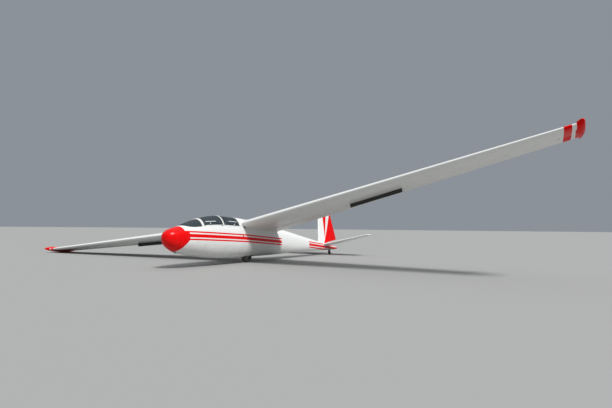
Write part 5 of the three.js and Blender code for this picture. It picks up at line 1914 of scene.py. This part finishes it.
grip_rubber = enamel("grip_rubber", RUBBER_AND_SHADE_BLACK, 0.8)
dark_enamel = enamel("dark_enamel", (0.035, 0.037, 0.040, 1), 0.5)
for name, (station, top) in STICKS.items():
    foot = np.array([station, 0, FLOOR_TOP + 0.002])
    lean = np.array([station + STICK_LEAN, 0, top]) - foot
    length = np.linalg.norm(lean)
    t = np.linspace(0, 1, 60)
    ridges = 0.0125 + 0.0018 * np.sin(np.pi * t) ** 0.5 - 0.0009 * (np.cos(t * 2 * np.pi * GRIP_RIDGES) > 0.2)
    ridges[0] = ridges[-1] = 0
    grip = np.stack([length - GRIP + t * GRIP, ridges], axis=1)
    patches = [rod(foot, lean, length - 0.1, 0.0085)]
    patches += [(turned(foot, lean, grip, 24), grip_rubber), (turned(foot, lean, BOOT), grip_rubber)]
    made_of(f"control_stick_{name}", patches, "airframe", dark_enamel, f"stick_{name}")
for name, station in PEDALS.items():
    bar_z = FLOOR_TOP + 0.012
    patches = [rod((station + 0.007, -0.118, bar_z), ACROSS, 0.236, 0.0068)]
    for side in (-1, 1):
        middle = side * PEDAL_APART
        low = np.array([station + 0.001, middle - PEDAL_HALF, FLOOR_TOP + 0.045])
        patches.append(rounded_block(low, low + [0.006, 2 * PEDAL_HALF, 0.104], 0.3))
        for level in np.linspace(0.065, 0.135, 5):
            bar = (station + 0.006, middle - PEDAL_HALF + 0.004, FLOOR_TOP + level)
            patches.append((rod(bar, ACROSS, 2 * PEDAL_HALF - 0.008, 0.0045), grip_rubber))
        for lean in (-0.018, 0.018):
            patches.append(rod((station + 0.006, middle + lean, bar_z), (0, 0, 1), 0.06, 0.0045))
    made_of(f"rudder_pedals_{name}", patches, "airframe", steel, f"pedals_{name}")

# Airbrakes
# Plates of grey sheet, darkened near to black as painted shade, stand out of both skins, stiffened by pressed
# beads. Each carries a painted strip along its top, which closes the slot when the plate is run in.
BRAKE_FROM = 3.100
BRAKE_TO = 4.500
BRAKE_TRAVEL = 0.098
BRAKE_KEPT = 0.002
CAP_HALF = 0.0212
CAP_DEPTH = 0.005
PLATE_HALF = 0.0012
BEAD_PITCH = 0.140


def brake_loops(places, side):
    """Outlines of a plate and its cap strip: at each place the sheet bulges to both sides of its middle
    as a raised cosine, which makes the beads."""
    a = np.asarray(places, float)[:, None]
    share = SLOTS[side]
    rise = np.linspace(BRAKE_TRAVEL - CAP_DEPTH, -BRAKE_KEPT, 15)
    u = (BRAKE_TRAVEL - CAP_DEPTH - rise) / (BRAKE_TRAVEL - CAP_DEPTH)
    bead = 0.0017 * np.clip(np.sin(np.pi * np.minimum(u, 1)), 0, 1) ** 0.4
    ridge = np.maximum(np.cos(2 * np.pi * (a - BRAKE_FROM) / BEAD_PITCH), 0) ** 4
    half = PLATE_HALF + bead * ridge
    lip = np.array([CAP_HALF, CAP_HALF, CAP_HALF - 0.0008, CAP_HALF - 0.002])
    lip_rise = BRAKE_TRAVEL - np.array([CAP_DEPTH, 0.001, 0.0002, 0.0])
    across = np.concatenate([0 * a - lip[::-1], -half, half[:, ::-1], 0 * a + lip, 0 * a - lip[-1]], axis=1)
    tall = np.concatenate([lip_rise[::-1], rise, rise[::-1], lip_rise, lip_rise[-1:]])
    middle = wing.at(a, share, wing.height(a, share, side) + side * tall)
    middle[..., 0] += across
    return middle


def brake_paint():
    """Bare duralumin in narrow streaks, coloured near black as painted shade."""
    # Painted shade: both colours are kept near black, as the plates stand in shade.
    nodes = Nodes("brake_sheet", (0.09, 0.092, 0.092, 1), 0.5)
    stretched = nodes.add("ShaderNodeMapping", Vector=nodes.place()[3], Scale=(3.0, 60.0, 4.0)).outputs[0]
    streak = nodes.noise(1.0, 5.0, stretched)
    colour = nodes.blend(streak, (0.070, 0.072, 0.072, 1), (0.018, 0.018, 0.017, 1))
    nodes.surface(Base_Color=colour, Roughness=0.35 + streak * 0.35, Metallic=0.3)
    nodes.bump(nodes.noise(50.0, 4.0), 0.0004, 0.5)
    return nodes.material


brake_sheet = brake_paint()
brake_rows = between(BRAKE_FROM, BRAKE_TO, BEAD_PITCH / 12)
for level, side in (("upper", 1), ("lower", -1)):
    loops = brake_loops(brake_rows, side)
    strip = np.zeros((len(loops) - 1, loops.shape[1] - 1), bool)
    strip[:, :4] = strip[:, -5:] = True
    patches = [lid(loops[0]), (loops, wing_paint, strip), lid(loops[-1])]
    node = f"airbrake_{level}"
    both_sides(f"brake_plate_{level}", patches, brake_sheet, node, moving=True)

# Wheels
# Worn ribbed tyres on cast and turned hubs. The main wheel turns on an axle in a short steel fork in its
# well, and the small tail wheel in a fork under the tail cone.
WHEELS = {
    # station and height, radius, rim, half width, half the hub's length, axle
    "main": ((2.850, -0.358), 0.175, 0.092, 0.062, 0.030, 0.010),
    "tail": ((7.600, -0.152), 0.070, 0.038, 0.024, 0.016, 0.006),
}
FORKS = {
    # half width, half a cheek's breadth, thickness, top, bridge, foot round the axle
    "main": (0.084, 0.030, 0.009, -0.1403, 0.018, 0.016),
    "tail": (0.036, 0.020, 0.005, -0.030, 0.044, 0.016),
}
GROOVES = (-0.42, -0.14, 0.14, 0.42)
BOLTS = {
    # number, length, radius
    "main": (6, 0.022, 0.0055),
    "tail": (4, 0.016, 0.003),
}


def tyre_profile(radius, rim, half):
    """A tyre's section from bead to bead: cosine and sine to the power of 0.8, with round grooves in the
    tread."""
    angle = np.linspace(-0.42, 1.42, 141) * np.pi
    reach = np.abs(np.sin(angle)) ** 0.8 * np.sign(np.sin(angle))
    across = -half * np.sign(np.cos(angle)) * np.abs(np.cos(angle)) ** 0.8
    out = np.maximum((radius + rim) / 2 + reach * (radius - rim) / 2, rim)
    tread = across[:, None] / half - np.array(GROOVES)
    worn = np.exp(-((tread / 0.05) ** 2)).sum(axis=1) * (out > radius - 0.25 * (radius - rim))
    profile = np.stack([across, out - 0.03 * (radius - rim) * worn], axis=1)
    return np.concatenate([profile, profile[:1]])


def hub_profile(rim, half, hub, axle):
    """A hub's section: a sleeve, a dished web and a rim with two turned flanges."""
    bead, deep = half * 0.62, rim - axle
    rows = np.array(
        [
            [-hub, axle + 0.0005],
            [-hub, axle + 0.12 * deep],
            [-0.9 * hub, axle + 0.17 * deep],
            [-0.3 * hub, axle + 0.22 * deep],
            [-0.24 * hub, axle + 0.5 * deep],
            [-0.3 * hub, axle + 0.83 * deep],
            [-0.95 * bead, axle + 0.88 * deep],
            [-1.03 * bead, axle + 0.93 * deep],
            [-bead, rim - 0.0003],
        ]
    )
    other = rows[::-1] * [-1, 1]
    return np.concatenate([rows, other, rows[:1]])


def tyre_rubber():
    """Old black rubber, greyed by dust in patches."""
    nodes = Nodes("tyre_rubber", (0.022, 0.022, 0.022, 1), 0.85)
    dust = nodes.noise(9.0, 6.0) * nodes.noise(40.0, 3.0)
    colour = nodes.blend(dust * 1.5, (0.018, 0.018, 0.018, 1), (0.13, 0.12, 0.1, 1))
    nodes.surface(Base_Color=colour, Roughness=0.7 + dust * 0.3)
    nodes.bump(nodes.noise(220.0, 3.0), 0.0005, 0.6)
    return nodes.material


def fork_patches(at, axle, half, width, plate, top, bridge, foot):
    """A bridge and two cheeks, each rounded at its foot round the axle, with a collar."""
    x, z = at
    patches = [rounded_block((x - width, -half, top - bridge), (x + width, half, top - 0.0002), 0.12)]
    turn = np.linspace(0, np.pi, 25)
    rounded = np.stack([x + width * np.cos(turn), z - (axle + foot) * np.sin(turn)], axis=1)
    edge = np.concatenate([[[x + width, top - bridge / 2]], rounded, [[x - width, top - bridge / 2]]])
    waist = len(edge) // 2 + 1
    for side in (-1, 1):
        faces = []
        for y in (side * half, side * (half - plate)):
            ring = np.stack([edge[:, 0], np.full(len(edge), y), edge[:, 1]], axis=1)
            faces.append(row_between(ring[:waist], ring[::-1][:waist], 9))
        patches += walled(*faces)
        collar = [(-0.001, 0), (-0.001, axle + 0.007), (0.002, axle + 0.006)]
        collar += [(0.002, axle + 0.002), (0.008, axle - 0.001), (0.009, 0)]
        patches.append(turned((x, side * half, z), (0, side, 0), collar, 24))
    return patches


rubber = tyre_rubber()
cast = steel_paint("cast_alloy", (0.46, 0.46, 0.45, 1), 0.5)
for name, fork_paint in (("main", steel), ("tail", dark_enamel)):
    (x, z), radius, rim, half, hub, axle = WHEELS[name]
    spot = np.array([x, 0, z])
    tyre = turned(spot, ACROSS, tyre_profile(radius, rim, half), 96)
    made_of(f"{name}_tyre_ribbed", [tyre], f"{name}_wheel", rubber, f"{name}_tyre")
    patches = [turned(spot, ACROSS, hub_profile(rim, half, hub, axle), 64)]
    bolts, bolt_length, bolt_radius = BOLTS[name]
    for turn in np.arange(bolts) * 2 * np.pi / bolts:
        out = spot + (rim + axle) / 2 * np.array([np.cos(turn), 0, np.sin(turn)])
        patches.append(rod(out - [0, bolt_length / 2, 0], ACROSS, bolt_length, bolt_radius, 7))
    valve = spot + (rim - 0.016) * np.array([0.8, 0, 0.6]) + [0, half * 0.35, 0]
    patches.append(rod(valve, ACROSS, half * 0.4, 0.0035, 10))
    made_of(f"{name}_hub_turned", patches, f"{name}_wheel", cast, f"{name}_hub")
    reach = FORKS[name][0] + 0.008
    axle_rod = rod(spot - [0, reach, 0], ACROSS, 2 * reach, axle - 0.0002)
    made_of(f"{name}_axle_turned", [axle_rod], "airframe", steel, f"{name}_axle")
    fork_grids = fork_patches((x, z), axle, *FORKS[name])
    made_of(f"{name}_fork_pressed", fork_grids, "airframe", fork_paint, f"{name}_fork")

# Tow hook
# Two steel cheeks under the nose, with three bolts across them, hold a beak that curls forward.
HOOK_BOX = (0.318, 0.396)
BEAK = (
    # station, height, share of the thickness
    (0.392, -0.300, 1.0),
    (0.391, -0.325, 1.0),
    (0.386, -0.345, 1.0),
    (0.376, -0.356, 0.95),
    (0.365, -0.353, 0.8),
    (0.360, -0.345, 0.5),
)
HOOK_BOLTS = ((0.335, -0.305), (0.380, -0.300), (0.358, -0.322))

cheek = rounded_block((HOOK_BOX[0], -0.009, -0.338), (HOOK_BOX[1], -0.0045, -0.27), 0.1)
beak_path = [(x, 0, z) for x, z, _ in BEAK]
beak = swept(beak_path, flat_profile(0.0085, 0.009, 0.5), (0.7, 0, 0.7), [share for _, _, share in BEAK])
hook_patches = [cheek, mirrored(cheek), beak]
hook_patches += [rod((x, -0.0105, z), ACROSS, 0.021, 0.004, 12) for x, z in HOOK_BOLTS]
made_of("tow_hook_release", hook_patches, "airframe", steel, "tow_hook")
